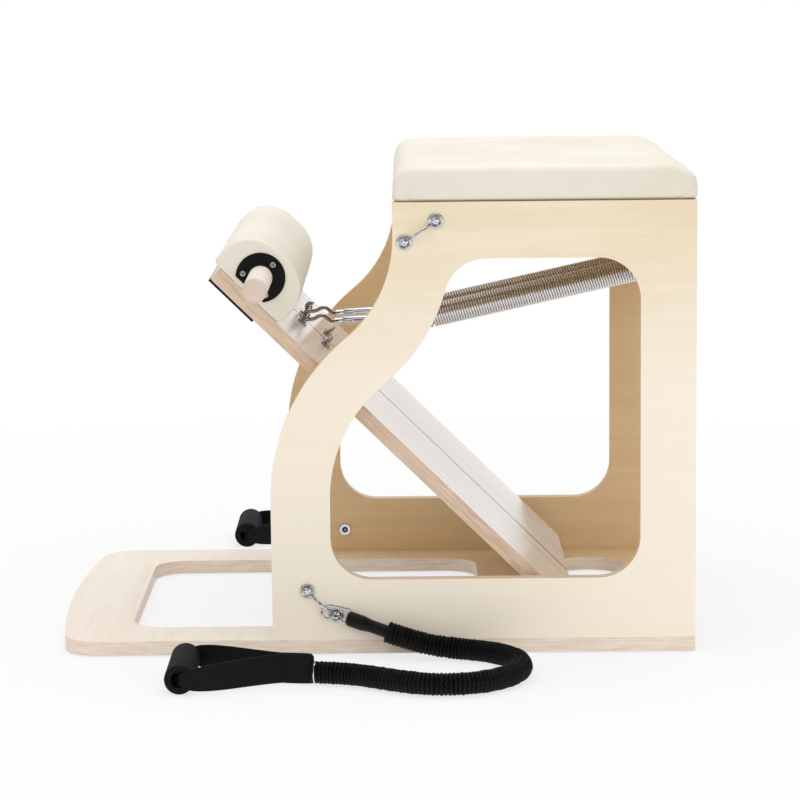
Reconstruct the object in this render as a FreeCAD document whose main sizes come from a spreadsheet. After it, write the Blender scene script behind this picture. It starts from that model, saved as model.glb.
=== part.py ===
"""Split-pedal pilates chair: plywood frame, padded seat, two sprung pedals, two resistance tubes.

Millimetres. The chair stands on the floor at Z = 0. Its front, where the pedals are, is at -X,
its back at +X, and the user's left at -Y. The origin is on the floor under the middle of the base.
"""
import FreeCAD, Part
import math
import os
from types import SimpleNamespace

V = FreeCAD.Vector

SIZES = {
    "chair_length": 810,
    "chair_width": 580,
    "foot_height": 2,
    "foot_radius": 20,
    "foot_inset": 38,
    "base_thickness": 18,
    "front_bow": 20,
    "front_corner_radius": 45,
    "base_side_rail": 78,
    "front_rail": 95,
    "base_opening_radius": 45,
    "crossbar_width": 109,
    "rear_slot_width": 97,
    "rear_rail": 58,
    "panel_thickness": 18,
    "panel_height": 548,
    "panel_foot_length": 530,
    "seat_depth": 375,
    "upper_curve_radius": 160,
    "upper_curve_drop": 44,
    "lower_curve_rise": 178,
    "band_width": 74,
    "top_rail": 70,
    "bottom_rail": 76,
    "rear_post": 69,
    "opening_corner_radius": 52,
    "panel_screw_inset": 40,
    "panel_screw_count": 4,
    "panel_screw_length": 50,
    "spring_rail_thickness": 18,
    "spring_rail_height": 150,
    "rail_dowel_radius": 4,
    "rail_dowel_reach": 12,
    "rail_dowel_inset": 25,
    "cleat_size": 20,
    "cleat_front_inset": 72,
    "cleat_back_gap": 12,
    "seat_board_thickness": 12,
    "seat_board_inset": 9,
    "cushion_height": 45,
    "cushion_overhang": 2,
    "cushion_corner_radius": 24,
    "cushion_waist": 1.5,
    "cushion_seat_gap": 0.4,
    "wood_screw_radius": 2,
    "wood_screw_head_radius": 4,
    "wood_screw_head_height": 2.4,
    "wood_screw_length": 15,
    "seat_screw_length": 28,
    "strap_span": 47,
    "strap_wire_radius": 2,
    "strap_rise": 13,
    "eyelet_radius": 10,
    "eyelet_thickness": 3,
    "strap_bolt_radius": 3,
    "strap_bolt_head_radius": 5.3,
    "strap_bolt_head_height": 3,
    "strap_nut_radius": 9.3,
    "strap_nut_height": 3,
    "upper_strap_inset": 34,
    "upper_strap_drop": 36,
    "upper_strap_angle": 34,
    "lower_strap_inset": 62,
    "lower_strap_rise": 47,
    "lower_strap_angle": -41,
    "pin_edge_gap": 7,
    "pin_radius": 3,
    "pin_running_gap": 0.08,
    "knuckle_radius": 6.5,
    "knuckle_clearance": 0.5,
    "knuckle_count": 5,
    "hinge_end_inset": 23.25,
    "leaf_length": 45,
    "leaf_thickness": 2.5,
    "pedal_angle": 44.6,
    "pedal_length": 626,
    "pedal_thickness": 18,
    "pedal_side_gap": 24,
    "pedal_gap": 3,
    "pedal_corner_radius": 5,
    "pad_radius": 54,
    "pad_centre_height": 14,
    "pad_edge_radius": 12,
    "pad_end_radius": 5,
    "dowel_setback": 44,
    "dowel_height": 27,
    "dowel_radius": 15,
    "dowel_length": 796,
    "dowel_fit": 0.5,
    "core_radius": 34,
    "core_fit": 0.2,
    "core_screw_bite": 8,
    "plate_radius": 31,
    "plate_chord_drop": 20,
    "plate_thickness": 3,
    "plate_screw_circle": 22.5,
    "plate_screw_radius": 1.6,
    "plate_screw_head_radius": 3,
    "plate_screw_head_height": 2,
    "plate_screw_length": 14,
    "bumper_length": 75,
    "bumper_thickness": 3,
    "eye_plate_length": 38,
    "eye_plate_width": 14,
    "eye_plate_thickness": 2.5,
    "eye_wire_radius": 2.5,
    "eye_arch_radius": 9,
    "eye_leg": 1,
    "eye_screw_span": 27,
    "upper_eye_setback": 88,
    "lower_eye_setback": 130,
    "spring_y": 45,
    "spare_eye_y": 54,
    "anchor_rise": 45,
    "knee_reach": 161,
    "knee_sag": 24,
    "hook_gap": 0.7,
    "hook_rod_radius": 2.25,
    "hook_offset": 10,
    "collar_start": 33,
    "collar_length": 11,
    "collar_radius": 3.5,
    "barrel_length": 76,
    "barrel_radius": 5,
    "rod_reach": 30,
    "cap_nose": 6,
    "cap_length": 46,
    "cap_radius": 12.2,
    "cap_bore_radius": 9,
    "cap_flange_radius": 15.4,
    "cap_flange_length": 5,
    "coil_gap": 0.4,
    "coil_wire_radius": 1.7,
    "coil_turns": 50,
    "coil_plug_length": 14,
    "tail_neck": 26,
    "link_length": 42,
    "link_width": 21,
    "link_wire_radius": 1.75,
    "link_angle": -13,
    "link_shift_x": 1.3,
    "link_shift_z": 3.2,
    "link_gap": 0.5,
    "boot_panel_gap": 1,
    "boot_radius": 9.5,
    "boot_length": 53,
    "boot_end_radius": 8,
    "tube_crest_radius": 14,
    "tube_valley_radius": 11.8,
    "tube_bore_radius": 7,
    "tube_core_gap": 0.5,
    "tube_ribs": 80,
    "tube_floor_gap": 0.3,
    "ring_wire_radius": 1,
    "ring_fit": 0.3,
    "ring_setback": 5,
    "web_thickness": 3,
    "web_width": 37,
    "web_tab_length": 41,
    "web_tab_thickness": 9,
    "web_grip_gap": 0.5,
    "grip_length": 122,
    "grip_radius": 18,
    "grip_core_radius": 12,
    "grip_bore_radius": 10,
    "grip_web_width": 15,
}

doc = FreeCAD.newDocument("pilates_chair")
sheet = doc.addObject("Spreadsheet::Sheet", "sizes")
for row, (alias, value) in enumerate(SIZES.items(), start=1):
    sheet.set(f"A{row}", alias)
    sheet.set(f"B{row}", str(value))
    sheet.setAlias(f"B{row}", alias)
doc.recompute()
dim = SimpleNamespace(**{alias: float(sheet.get(alias)) for alias in SIZES})

# Levels and planes that several pieces share
half_length = dim.chair_length / 2
half_width = dim.chair_width / 2
inner_face = half_width - dim.panel_thickness
base_top = dim.foot_height + dim.base_thickness
panel_top = base_top + dim.panel_height
foot_front = half_length - dim.panel_foot_length
seat_front = half_length - dim.seat_depth
rail_front = half_length - dim.spring_rail_thickness
rail_bottom = panel_top - dim.spring_rail_height
slot_back = half_length - dim.rear_rail
slot_front = slot_back - dim.rear_slot_width
pin_x = slot_front - dim.pin_edge_gap
pin_rise = dim.knuckle_radius + dim.knuckle_clearance
pin_z = base_top + pin_rise
pedal_top = pin_rise + dim.pedal_thickness
pedal_half = inner_face - dim.pedal_side_gap
pedal_width = pedal_half - dim.pedal_gap / 2
hinge_width = pedal_width - 2 * dim.hinge_end_inset
dowel_station = dim.pedal_length - dim.dowel_setback
eye_rise = dim.eye_plate_thickness + dim.eye_leg + dim.eye_arch_radius
curl_radius = dim.eye_wire_radius + dim.hook_gap + dim.hook_rod_radius
barrel_end = dim.collar_start + dim.collar_length + dim.barrel_length
coil_radius = dim.cap_radius + dim.coil_gap + dim.coil_wire_radius
coil_start = dim.cap_flange_length - dim.cap_nose + dim.coil_gap + dim.coil_wire_radius
anchor_level = rail_bottom + dim.anchor_rise
strap_spots = {
    "upper": (seat_front + dim.upper_strap_inset, panel_top - dim.upper_strap_drop),
    "lower": (foot_front + dim.lower_strap_inset, base_top + dim.lower_strap_rise),
}
eye_stations = {
    "upper": dowel_station - dim.upper_eye_setback,
    "lower": dowel_station - dim.lower_eye_setback,
}
eye_sides = {"upper": dim.spring_y, "lower": dim.spare_eye_y}
pedal_frame = FreeCAD.Placement(V(pin_x, 0, pin_z), FreeCAD.Rotation(V(0, 1, 0), dim.pedal_angle))
SIDES = {"left": -1, "right": 1}
LEVELS = ("upper", "lower")
nodes = []


# Document helpers

def node(obj, label):
    """Give an object the name of its file and put it on the list of pieces to write."""
    obj.Label = label
    nodes.append(obj)
    return obj


def feature(label, shape, placement=None):
    """A piece whose form is made directly from shapes, with its placement set afterwards."""
    obj = doc.addObject("Part::Feature", label)
    obj.Shape = shape
    if placement is not None:
        obj.Placement = placement.multiply(obj.Placement)
    return obj


def body_with_pad(name, role, loops, length_alias):
    """A body with one sketch on an origin plane and one pad whose length is a sheet cell."""
    body = doc.addObject("PartDesign::Body", name)
    plane = next(f for f in body.Origin.OriginFeatures if f.Role == role)
    sketch = body.newObject("Sketcher::SketchObject", name + "_outline")
    sketch.AttachmentSupport = [(plane, "")]
    sketch.MapMode = "FlatFace"
    for loop in loops:
        sketch.addGeometry(loop, False)
    pad = body.newObject("PartDesign::Pad", name + "_pad")
    pad.Profile = sketch
    pad.setExpression("Length", "sizes." + length_alias)
    body.Tip = pad
    doc.recompute()
    return body


def bored(label, blank, tools):
    """A blank with the shapes of the fasteners and fittings it holds taken out of it."""
    group = doc.addObject("Part::Compound", label + "_bores")
    group.Links = tools
    cut = doc.addObject("Part::Cut", label)
    cut.Base = blank
    cut.Tool = group
    return cut


def bound_box(name, sizes):
    """A box whose sides are expressions on the sheet."""
    box = doc.addObject("Part::Box", name)
    for side, expression in zip(("Length", "Width", "Height"), sizes):
        box.setExpression(side, expression)
    return box


# Outline helpers, in a sketch's own plane

def flat(x, y):
    return V(x, y, 0)


def polar(centre, radius, degrees):
    angle = math.radians(degrees)
    return flat(centre[0] + radius * math.cos(angle), centre[1] + radius * math.sin(angle))


def arc_about(centre, radius, start, end):
    middle = (start + end) / 2
    return Part.Arc(*(polar(centre, radius, a) for a in (start, middle, end)))


def chain(pieces):
    """Arcs in order, with straight lines filling the spaces between them and back to the first."""
    outline = []
    for here, after in zip(pieces, pieces[1:] + pieces[:1]):
        outline.append(here)
        if here.EndPoint.distanceToPoint(after.StartPoint) > 1e-6:
            outline.append(Part.LineSegment(here.EndPoint, after.StartPoint))
    return outline


def rounded_rectangle(x0, y0, x1, y1, radius):
    corners = ((x1 - radius, y1 - radius, 90), (x1 - radius, y0 + radius, 0),
               (x0 + radius, y0 + radius, -90), (x0 + radius, y1 - radius, -180))
    return chain([arc_about((x, y), radius, a, a - 90) for x, y, a in corners])


# Shape helpers

def turned(points):
    """A solid turned about Z from a profile of radius and height."""
    ring = [V(r, 0, z) for r, z in points]
    return Part.Face(Part.makePolygon(ring + ring[:1])).revolve(V(0, 0, 0), V(0, 0, 1), 360)


def aimed(shape, origin, direction):
    """A copy of a shape with its own Z axis laid along a direction from an origin."""
    copy = shape.copy()
    turn = FreeCAD.Rotation(V(0, 0, 1), V(*direction))
    copy.Placement = FreeCAD.Placement(V(*origin), turn).multiply(copy.Placement)
    return copy


def rounded_path(points, radius=None):
    """Straight runs joined by tangent arcs, as a wire, with the arcs' radii.

    With no radius given, each arc is as large as its two runs allow.
    """
    points = [V(*p) for p in points]
    edges = []
    radii = []
    last = points[0]
    for before, here, after in zip(points, points[1:], points[2:]):
        back = (before - here).normalize()
        ahead = (after - here).normalize()
        half_turn = (math.pi - back.getAngle(ahead)) / 2
        shorter = min((before - here).Length, (after - here).Length)
        bend = radius if radius else 0.45 * shorter / math.tan(half_turn)
        tangent = bend * math.tan(half_turn)
        middle = (back + ahead).normalize() * (bend / math.cos(half_turn) - bend)
        start = here + back * tangent
        end = here + ahead * tangent
        edges.append(Part.LineSegment(last, start).toShape())
        edges.append(Part.Arc(start, here + middle, end).toShape())
        radii.append(bend)
        last = end
    edges.append(Part.LineSegment(last, points[-1]).toShape())
    return Part.Wire(edges), radii


def rod(path, radius):
    """A round bar along a wire."""
    start = path.Edges[0]
    tangent = start.tangentAt(start.FirstParameter)
    section = Part.Wire(Part.makeCircle(radius, start.valueAt(start.FirstParameter), tangent))
    return path.makePipeShell([section], True, False)


def fused(shapes):
    """Several overlapping shapes as one clean solid."""
    return shapes[0].multiFuse(shapes[1:]).removeSplitter()


def screw(radius, head_radius, head_height, length):
    """A countersunk screw: its flat head is at Z = 0 and its shank runs to -Z."""
    return turned([(0, 0), (head_radius, 0), (radius, -head_height), (radius, -length), (0, -length)])


def wood_screw(length):
    return screw(dim.wood_screw_radius, dim.wood_screw_head_radius, dim.wood_screw_head_height, length)


# Base board

def base_outline():
    """A plan with square back corners and a front edge bowed in one long arc."""
    bow_radius = (half_width ** 2 + dim.front_bow ** 2) / (2 * dim.front_bow)
    bow_x = bow_radius - half_length
    r = dim.front_corner_radius
    corner_x = bow_x - math.sqrt((bow_radius - r) ** 2 - (half_width - r) ** 2)
    corner_y = half_width - r
    swing = math.degrees(math.asin(corner_y / (bow_radius - r)))
    return chain([
        arc_about((corner_x, corner_y), r, 90, 180 - swing),
        arc_about((bow_x, 0), bow_radius, 180 - swing, 180 + swing),
        arc_about((corner_x, -corner_y), r, 180 + swing, 270),
        Part.LineSegment(flat(half_length, -half_width), flat(half_length, half_width)),
    ])


def base_openings():
    side = half_width - dim.base_side_rail
    end_radius = dim.rear_slot_width / 2 - 0.01
    front = rounded_rectangle(dim.front_rail - half_length, -side,
                              slot_front - dim.crossbar_width, side, dim.base_opening_radius)
    return [front, rounded_rectangle(slot_front, -side, slot_back, side, end_radius)]


base_blank = body_with_pad("base_blank", "XY_Plane", [base_outline()] + base_openings(), "base_thickness")
base_blank.setExpression("Placement.Base.z", "sizes.foot_height")

foot = Part.makeCylinder(dim.foot_radius, dim.foot_height)
foot_y = half_width - dim.foot_inset
foot_spots = [(x, y, 0) for y in (-foot_y, foot_y)
              for x in (dim.front_rail / 2 - half_length + dim.front_bow, half_length - dim.foot_inset)]
node(feature("foot_pads", Part.makeCompound([aimed(foot, p, (0, 0, 1)) for p in foot_spots])), "foot_pads")


# Screws from under the base into the foot of each panel

screw_count = int(dim.panel_screw_count)
screw_run = dim.panel_foot_length - 2 * dim.panel_screw_inset
panel_screw = wood_screw(dim.panel_screw_length)
panel_screw_spots = [(foot_front + dim.panel_screw_inset + screw_run * i / (screw_count - 1),
                      side * (half_width - dim.panel_thickness / 2), dim.foot_height)
                     for side in SIDES.values() for i in range(screw_count)]
panel_screws = node(feature("panel_screws", Part.makeCompound(
    [aimed(panel_screw, p, (0, 0, -1)) for p in panel_screw_spots])), "panel_screws")


# Side panels: an S-curved front edge of two tangent arcs, and an opening with a band of even width

def panel_loops():
    upper = (seat_front - dim.upper_curve_radius, panel_top - dim.upper_curve_drop)
    reach = foot_front - upper[0]
    lower_z = base_top + dim.lower_curve_rise
    drop = upper[1] - lower_z
    lower_radius = ((reach ** 2 + drop ** 2 - dim.upper_curve_radius ** 2)
                    / (2 * (dim.upper_curve_radius - reach)))
    lower = (foot_front + lower_radius, lower_z)
    lean = math.degrees(math.atan2(lower_z - upper[1], lower[0] - upper[0]))
    outline = chain([
        arc_about(lower, lower_radius, 180, 180 + lean),
        arc_about(upper, dim.upper_curve_radius, lean, 0),
        Part.LineSegment(flat(seat_front, panel_top), flat(half_length, panel_top)),
        Part.LineSegment(flat(half_length, base_top), flat(foot_front, base_top)),
    ])
    r = dim.opening_corner_radius
    left = foot_front + dim.band_width
    right = half_length - dim.rear_post
    bottom = base_top + dim.bottom_rail
    top = panel_top - dim.top_rail
    inner_radius = dim.upper_curve_radius + dim.band_width
    corner_z = top - r
    corner_x = upper[0] + math.sqrt((inner_radius + r) ** 2 - (corner_z - upper[1]) ** 2)
    meet = math.degrees(math.atan2(corner_z - upper[1], corner_x - upper[0]))
    opening = chain([
        arc_about(lower, lower_radius - dim.band_width, 180, 180 + lean),
        arc_about(upper, inner_radius, lean, meet),
        arc_about((corner_x, corner_z), r, 180 + meet, 90),
        arc_about((right - r, corner_z), r, 90, 0),
        arc_about((right - r, bottom + r), r, 0, -90),
        arc_about((left + r, bottom + r), r, -90, -180),
    ])
    return [outline, opening]


panel_blanks = {}
for name, outer_y in (("left", "-sizes.chair_width / 2 + sizes.panel_thickness"),
                      ("right", "sizes.chair_width / 2")):
    panel_blanks[name] = body_with_pad(name + "_panel_blank", "XZ_Plane", panel_loops(), "panel_thickness")
    panel_blanks[name].setExpression("Placement.Base.y", outer_y)


# Spring rail: the board across the back that ties the panels and carries the springs

rail_blank = bound_box("rail_blank", ("sizes.spring_rail_thickness",
                                      "sizes.chair_width - 2 * sizes.panel_thickness",
                                      "sizes.spring_rail_height"))
rail_blank.Placement.Base = V(rail_front, -inner_face, rail_bottom)

rail_dowel = Part.makeCylinder(dim.rail_dowel_radius, 2 * dim.rail_dowel_reach)
rail_middle = half_length - dim.spring_rail_thickness / 2
rail_dowel_spots = [(rail_middle, side * inner_face - dim.rail_dowel_reach, z) for side in SIDES.values()
                    for z in (panel_top - dim.rail_dowel_inset, rail_bottom + dim.rail_dowel_inset)]
rail_dowels = node(feature("rail_dowels", Part.makeCompound(
    [aimed(rail_dowel, p, (0, 1, 0)) for p in rail_dowel_spots])), "rail_dowels")


# Seat: cleats inside the panels, a board on top, and the upholstered cushion round it

cleat_front = seat_front + dim.cleat_front_inset
cleat_length = rail_front - dim.cleat_back_gap - cleat_front
cleat_stock = Part.makeBox(cleat_length, dim.cleat_size, dim.cleat_size)
cleat_shapes = [aimed(cleat_stock, (cleat_front, y, panel_top - dim.cleat_size), (0, 0, 1))
                for y in (-inner_face, inner_face - dim.cleat_size)]
cleat_blank = feature("cleat_blanks", Part.makeCompound(cleat_shapes))

seat_screw = wood_screw(dim.seat_screw_length)
seat_screw_shapes = []
for side in SIDES.values():
    inboard = side * (inner_face - dim.cleat_size)
    for share in (0.12, 0.5, 0.88):
        x = cleat_front + cleat_length * share
        seat_screw_shapes.append(
            aimed(seat_screw, (x, inboard, panel_top - dim.cleat_size / 2), (0, -side, 0)))
        x += 2 * dim.wood_screw_head_radius + dim.cleat_size / 2
        middle = side * (inner_face - dim.cleat_size / 2)
        seat_screw_shapes.append(aimed(seat_screw, (x, middle, panel_top - dim.cleat_size), (0, 0, -1)))
seat_screws = node(feature("seat_screws", Part.makeCompound(seat_screw_shapes)), "seat_screws")
node(bored("seat_cleats", cleat_blank, [seat_screws]), "seat_cleats")

cushion_front = seat_front - dim.cushion_overhang
cushion_length = half_length - cushion_front
board_blank = bound_box("seat_board_blank", (
    "sizes.seat_depth + sizes.cushion_overhang - 2 * sizes.seat_board_inset",
    "sizes.chair_width - 2 * sizes.seat_board_inset", "sizes.seat_board_thickness"))
board_blank.Placement.Base = V(cushion_front + dim.seat_board_inset,
                               dim.seat_board_inset - half_width, panel_top)
node(bored("seat_board", board_blank, [seat_screws]), "seat_board")


def cushion_section(inset, height):
    """The cushion's plan at one height: four sides drawn in between rounded corners."""
    x0 = cushion_front + inset
    x1 = half_length - inset
    y1 = half_width - inset
    r = dim.cushion_corner_radius
    waist = dim.cushion_waist
    arcs = []
    for a, b, inward in (((x1, -y1 + r), (x1, y1 - r), (-waist, 0)),
                         ((x1 - r, y1), (x0 + r, y1), (0, -waist)),
                         ((x0, y1 - r), (x0, -y1 + r), (waist, 0)),
                         ((x0 + r, -y1), (x1 - r, -y1), (0, waist))):
        middle = flat((a[0] + b[0]) / 2 + inward[0], (a[1] + b[1]) / 2 + inward[1])
        arcs.append(Part.Arc(flat(*a), middle, flat(*b)))
    corners = [arc_about((x1 - r, y1 - r), r, 0, 90), arc_about((x0 + r, y1 - r), r, 90, 180),
               arc_about((x0 + r, -y1 + r), r, 180, 270), arc_about((x1 - r, -y1 + r), r, 270, 360)]
    ring = [edge.toShape() for pair in zip(arcs, corners) for edge in pair]
    wire = Part.Wire(ring)
    wire.translate(V(0, 0, panel_top + height))
    return wire


def cushion():
    """Sides that belly out and roll over into a shallow crown, hollow below for the board."""
    full = dim.cushion_height
    gap = dim.cushion_seat_gap
    levels = ((5, gap), (1.5, 0.18 * full), (0, 0.45 * full), (1.5, 0.68 * full), (6, 0.82 * full),
              (14, 0.9 * full), (40, 0.96 * full), (100, full))
    form = Part.makeLoft([cushion_section(inset, height) for inset, height in levels], True, True)
    fit = dim.cushion_seat_gap
    inset = dim.seat_board_inset - fit
    hollow = Part.makeBox(cushion_length - 2 * inset, dim.chair_width - 2 * inset,
                          dim.seat_board_thickness + fit)
    hollow.translate(V(cushion_front + inset, inset - half_width, panel_top))
    return form.cut(hollow)


node(feature("seat_cushion", cushion()), "seat_cushion")


# Eye straps on the panels' outer faces: two eyelets joined by a bowed wire

def eye_strap():
    """Local X along the strap, Z out of the panel, which is at Z = 0."""
    half = dim.strap_span / 2
    ring = turned([(dim.strap_bolt_radius, 0), (dim.eyelet_radius, 0),
                   (dim.eyelet_radius - 1, dim.eyelet_thickness),
                   (dim.strap_bolt_radius, dim.eyelet_thickness)])
    foot_x = half - dim.eyelet_radius + dim.strap_wire_radius
    low = dim.eyelet_thickness / 2
    knee = dim.strap_rise * 0.45
    path, _ = rounded_path([(-foot_x, 0, low), (-knee, 0, dim.strap_rise), (knee, 0, dim.strap_rise),
                            (foot_x, 0, low)], 2.5 * dim.strap_wire_radius)
    return fused([aimed(ring, (-half, 0, 0), (0, 0, 1)), aimed(ring, (half, 0, 0), (0, 0, 1)),
                  rod(path, dim.strap_wire_radius)])


def strap_places(side):
    """The placement of each strap on one panel."""
    outward = FreeCAD.Rotation(V(1, 0, 0), -side * 90)
    places = []
    for level in LEVELS:
        angle = getattr(dim, level + "_strap_angle")
        x, z = strap_spots[level]
        spot = V(x, side * half_width, z)
        places.append(FreeCAD.Placement(spot, FreeCAD.Rotation(V(0, 1, 0), -angle).multiply(outward)))
    return places


def placed(shape, place):
    copy = shape.copy()
    copy.Placement = place.multiply(copy.Placement)
    return copy


strap = eye_strap()
strap_bolt = fused([
    turned([(0, dim.eyelet_thickness), (dim.strap_bolt_head_radius, dim.eyelet_thickness),
            (dim.strap_bolt_head_radius * 0.8, dim.eyelet_thickness + dim.strap_bolt_head_height * 0.7),
            (dim.strap_bolt_head_radius * 0.4, dim.eyelet_thickness + dim.strap_bolt_head_height),
            (0, dim.eyelet_thickness + dim.strap_bolt_head_height)]),
    turned([(0, dim.eyelet_thickness), (dim.strap_bolt_radius, dim.eyelet_thickness),
            (dim.strap_bolt_radius, -dim.panel_thickness), (0, -dim.panel_thickness)])])
nut_floor = -dim.panel_thickness - dim.strap_nut_height
strap_nut = turned([(0, -dim.panel_thickness), (dim.strap_nut_radius, -dim.panel_thickness),
                    (dim.strap_nut_radius * 0.85, nut_floor), (dim.strap_bolt_radius, nut_floor),
                    (dim.strap_bolt_radius, nut_floor + 2), (0, nut_floor + 2)])
straps = []
bolts = []
nuts = []
for side in SIDES.values():
    for place in strap_places(side):
        straps.append(placed(strap, place))
        for end in (-1, 1):
            at_end = place.multiply(FreeCAD.Placement(V(end * dim.strap_span / 2, 0, 0), FreeCAD.Rotation()))
            bolts.append(placed(strap_bolt, at_end))
            nuts.append(placed(strap_nut, at_end))
node(feature("eye_straps", Part.makeCompound(straps)), "eye_straps")
strap_bolts = node(feature("strap_bolts", Part.makeCompound(bolts)), "strap_bolts")
node(feature("strap_nuts", Part.makeCompound(nuts)), "strap_nuts")

for name, blank in panel_blanks.items():
    panel_tools = [strap_bolts, panel_screws, rail_dowels, seat_screws]
    node(bored(name + "_side_panel", blank, panel_tools), name + "_side_panel")


# Pad eyes: a plate with a wire arch across it

def pad_eye():
    """Local Y along the plate, Z off the board, which is at Z = 0; the arch stands across X."""
    plate = Part.makeBox(dim.eye_plate_width, dim.eye_plate_length, dim.eye_plate_thickness)
    plate.translate(V(-dim.eye_plate_width / 2, -dim.eye_plate_length / 2, 0))
    corner_edges = [e for e in plate.Edges if abs(e.tangentAt(e.FirstParameter).z) > 0.9]
    plate = plate.makeFillet(dim.eye_plate_width * 0.4, corner_edges)
    r = dim.eye_arch_radius
    foot_z = dim.eye_plate_thickness + dim.eye_leg
    arch = Part.Wire([
        Part.LineSegment(V(0, -r, 0), V(0, -r, foot_z)).toShape(),
        Part.Arc(V(0, -r, foot_z), V(0, 0, foot_z + r), V(0, r, foot_z)).toShape(),
        Part.LineSegment(V(0, r, foot_z), V(0, r, 0)).toShape(),
    ])
    return fused([plate, rod(arch, dim.eye_wire_radius)])


eye = pad_eye()
eye_screw = wood_screw(dim.wood_screw_length)
eye_screws = [aimed(eye_screw, (0, end * dim.eye_screw_span / 2, dim.eye_plate_thickness), (0, 0, 1))
              for end in (-1, 1)]
eye = eye.cut(Part.makeCompound(eye_screws))


# Springs' eyes on the rail

def anchor_place(side):
    spot = V(rail_front, side * dim.spring_y, anchor_level)
    return FreeCAD.Placement(spot, FreeCAD.Rotation(V(0, 1, 0), -90))


anchors = [anchor_place(side) for side in SIDES.values()]
node(feature("anchor_eyes", Part.makeCompound([placed(eye, a) for a in anchors])), "anchor_eyes")
anchor_screw_shapes = [placed(s, a) for a in anchors for s in eye_screws]


# Hinges: interleaved knuckles on a pin, one hinge under each pedal

knuckle_pitch = hinge_width / dim.knuckle_count
knuckle_length = knuckle_pitch - dim.knuckle_clearance


def hinge_leaf(centre_y, first, bore_radius):
    """A leaf to -X of the pin with its outer face at Z = -pin_rise and every second knuckle."""
    plate_end = -dim.knuckle_radius - 3 * dim.knuckle_clearance
    plate_y = centre_y - hinge_width / 2
    floor = -pin_rise
    pieces = [Part.makeBox(dim.leaf_length + plate_end, hinge_width, dim.leaf_thickness,
                           V(-dim.leaf_length, plate_y, floor))]
    bores = []
    for index in range(first, int(dim.knuckle_count), 2):
        y = plate_y + index * knuckle_pitch + dim.knuckle_clearance / 2
        pieces.append(Part.makeCylinder(dim.knuckle_radius, knuckle_length, V(0, y, 0), V(0, 1, 0)))
        pieces.append(Part.makeBox(-plate_end, knuckle_length, dim.leaf_thickness, V(plate_end, y, floor)))
        bores.append(Part.makeCylinder(bore_radius, knuckle_length, V(0, y, 0), V(0, 1, 0)))
    return fused(pieces).cut(Part.makeCompound(bores))


def leaf_screws(centre_y):
    """Four screws through a leaf, heads in its open face, shanks out through its outer face."""
    head_z = dim.leaf_thickness - pin_rise
    return [aimed(wood_screw(dim.wood_screw_length), (x, centre_y + y, head_z), (0, 0, 1))
            for x in (-0.35 * dim.leaf_length, -0.75 * dim.leaf_length)
            for y in (-0.36 * hinge_width, 0.36 * hinge_width)]


flip = FreeCAD.Placement(V(0, 0, 0), FreeCAD.Rotation(V(1, 0, 0), 180))
hinge_y = {name: side * (dim.pedal_gap + pedal_width) / 2 for name, side in SIDES.items()}
pin_place = FreeCAD.Placement(V(pin_x, 0, pin_z), FreeCAD.Rotation())
base_leaf_blanks = []
base_screw_shapes = list(anchor_screw_shapes)
pins = []
for name, centre in hinge_y.items():
    screws = [placed(s, pin_place) for s in leaf_screws(centre)]
    base_screw_shapes += screws
    leaf = placed(hinge_leaf(centre, 0, dim.pin_radius), pin_place)
    base_leaf_blanks.append(leaf.cut(Part.makeCompound(screws)))
    pins.append(placed(Part.makeCylinder(dim.pin_radius, hinge_width,
                                         V(0, centre - hinge_width / 2, 0), V(0, 1, 0)), pin_place))
node(feature("hinge_base_leaves", Part.makeCompound(base_leaf_blanks)), "hinge_base_leaves")
node(feature("hinge_pins", Part.makeCompound(pins)), "hinge_pins")
frame_screws = node(feature("frame_screws", Part.makeCompound(base_screw_shapes)), "frame_screws")
node(bored("spring_rail", rail_blank, [frame_screws, rail_dowels]), "spring_rail")
node(bored("base_board", base_blank, [panel_screws, frame_screws]), "base_board")


# Pedals, modelled lying flat with the hinge pin at the origin, then tilted up to their rest angle

dowel_x = -dowel_station
dowel_z = pedal_top + dim.dowel_height
pad_z = pedal_top + dim.pad_centre_height


def pad_outline():
    """A round pad cut flat below, with its two lower corners rounded."""
    r = dim.pad_edge_radius
    big = dim.pad_radius
    corner_z = pedal_top + r
    reach = math.sqrt((big - r) ** 2 - (corner_z - pad_z) ** 2)
    lean = math.degrees(math.atan2(corner_z - pad_z, reach))
    return chain([
        arc_about((dowel_x, pad_z), big, lean, 90),
        arc_about((dowel_x, pad_z), big, 90, 180 - lean),
        arc_about((dowel_x - reach, corner_z), r, 180 - lean, 270),
        arc_about((dowel_x + reach, corner_z), r, 270, 360 + lean),
    ])


def core_outline(radius, floor):
    """A round block cut flat where it sits on the pedal."""
    drop = dowel_z - floor
    lean = math.degrees(math.asin(drop / radius))
    centre = (dowel_x, dowel_z)
    return chain([arc_about(centre, radius, -lean, 90), arc_about(centre, radius, 90, 180 + lean)])


def prism(loop, y, length):
    """A profile in X and Z run along Y from a start."""
    wire = Part.Wire([g.toShape() for g in loop])
    wire.rotate(V(0, 0, 0), V(1, 0, 0), 90)
    wire.translate(V(0, y, 0))
    return Part.Face(wire).extrude(V(0, length, 0))


def end_edges(solid, y):
    """The edges of a solid that lie in one plane across Y."""
    return [e for e in solid.Edges if abs(e.BoundBox.YMin - y) < 1e-6 and abs(e.BoundBox.YMax - y) < 1e-6]


def pedal_span(side):
    """The lowest and highest Y of a pedal."""
    return tuple(sorted((side * dim.pedal_gap / 2, side * pedal_half)))


dowel_tool = Part.makeCylinder(dim.dowel_radius + dim.dowel_fit, dim.dowel_length,
                               V(dowel_x, -dim.dowel_length / 2, dowel_z), V(0, 1, 0))


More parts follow.
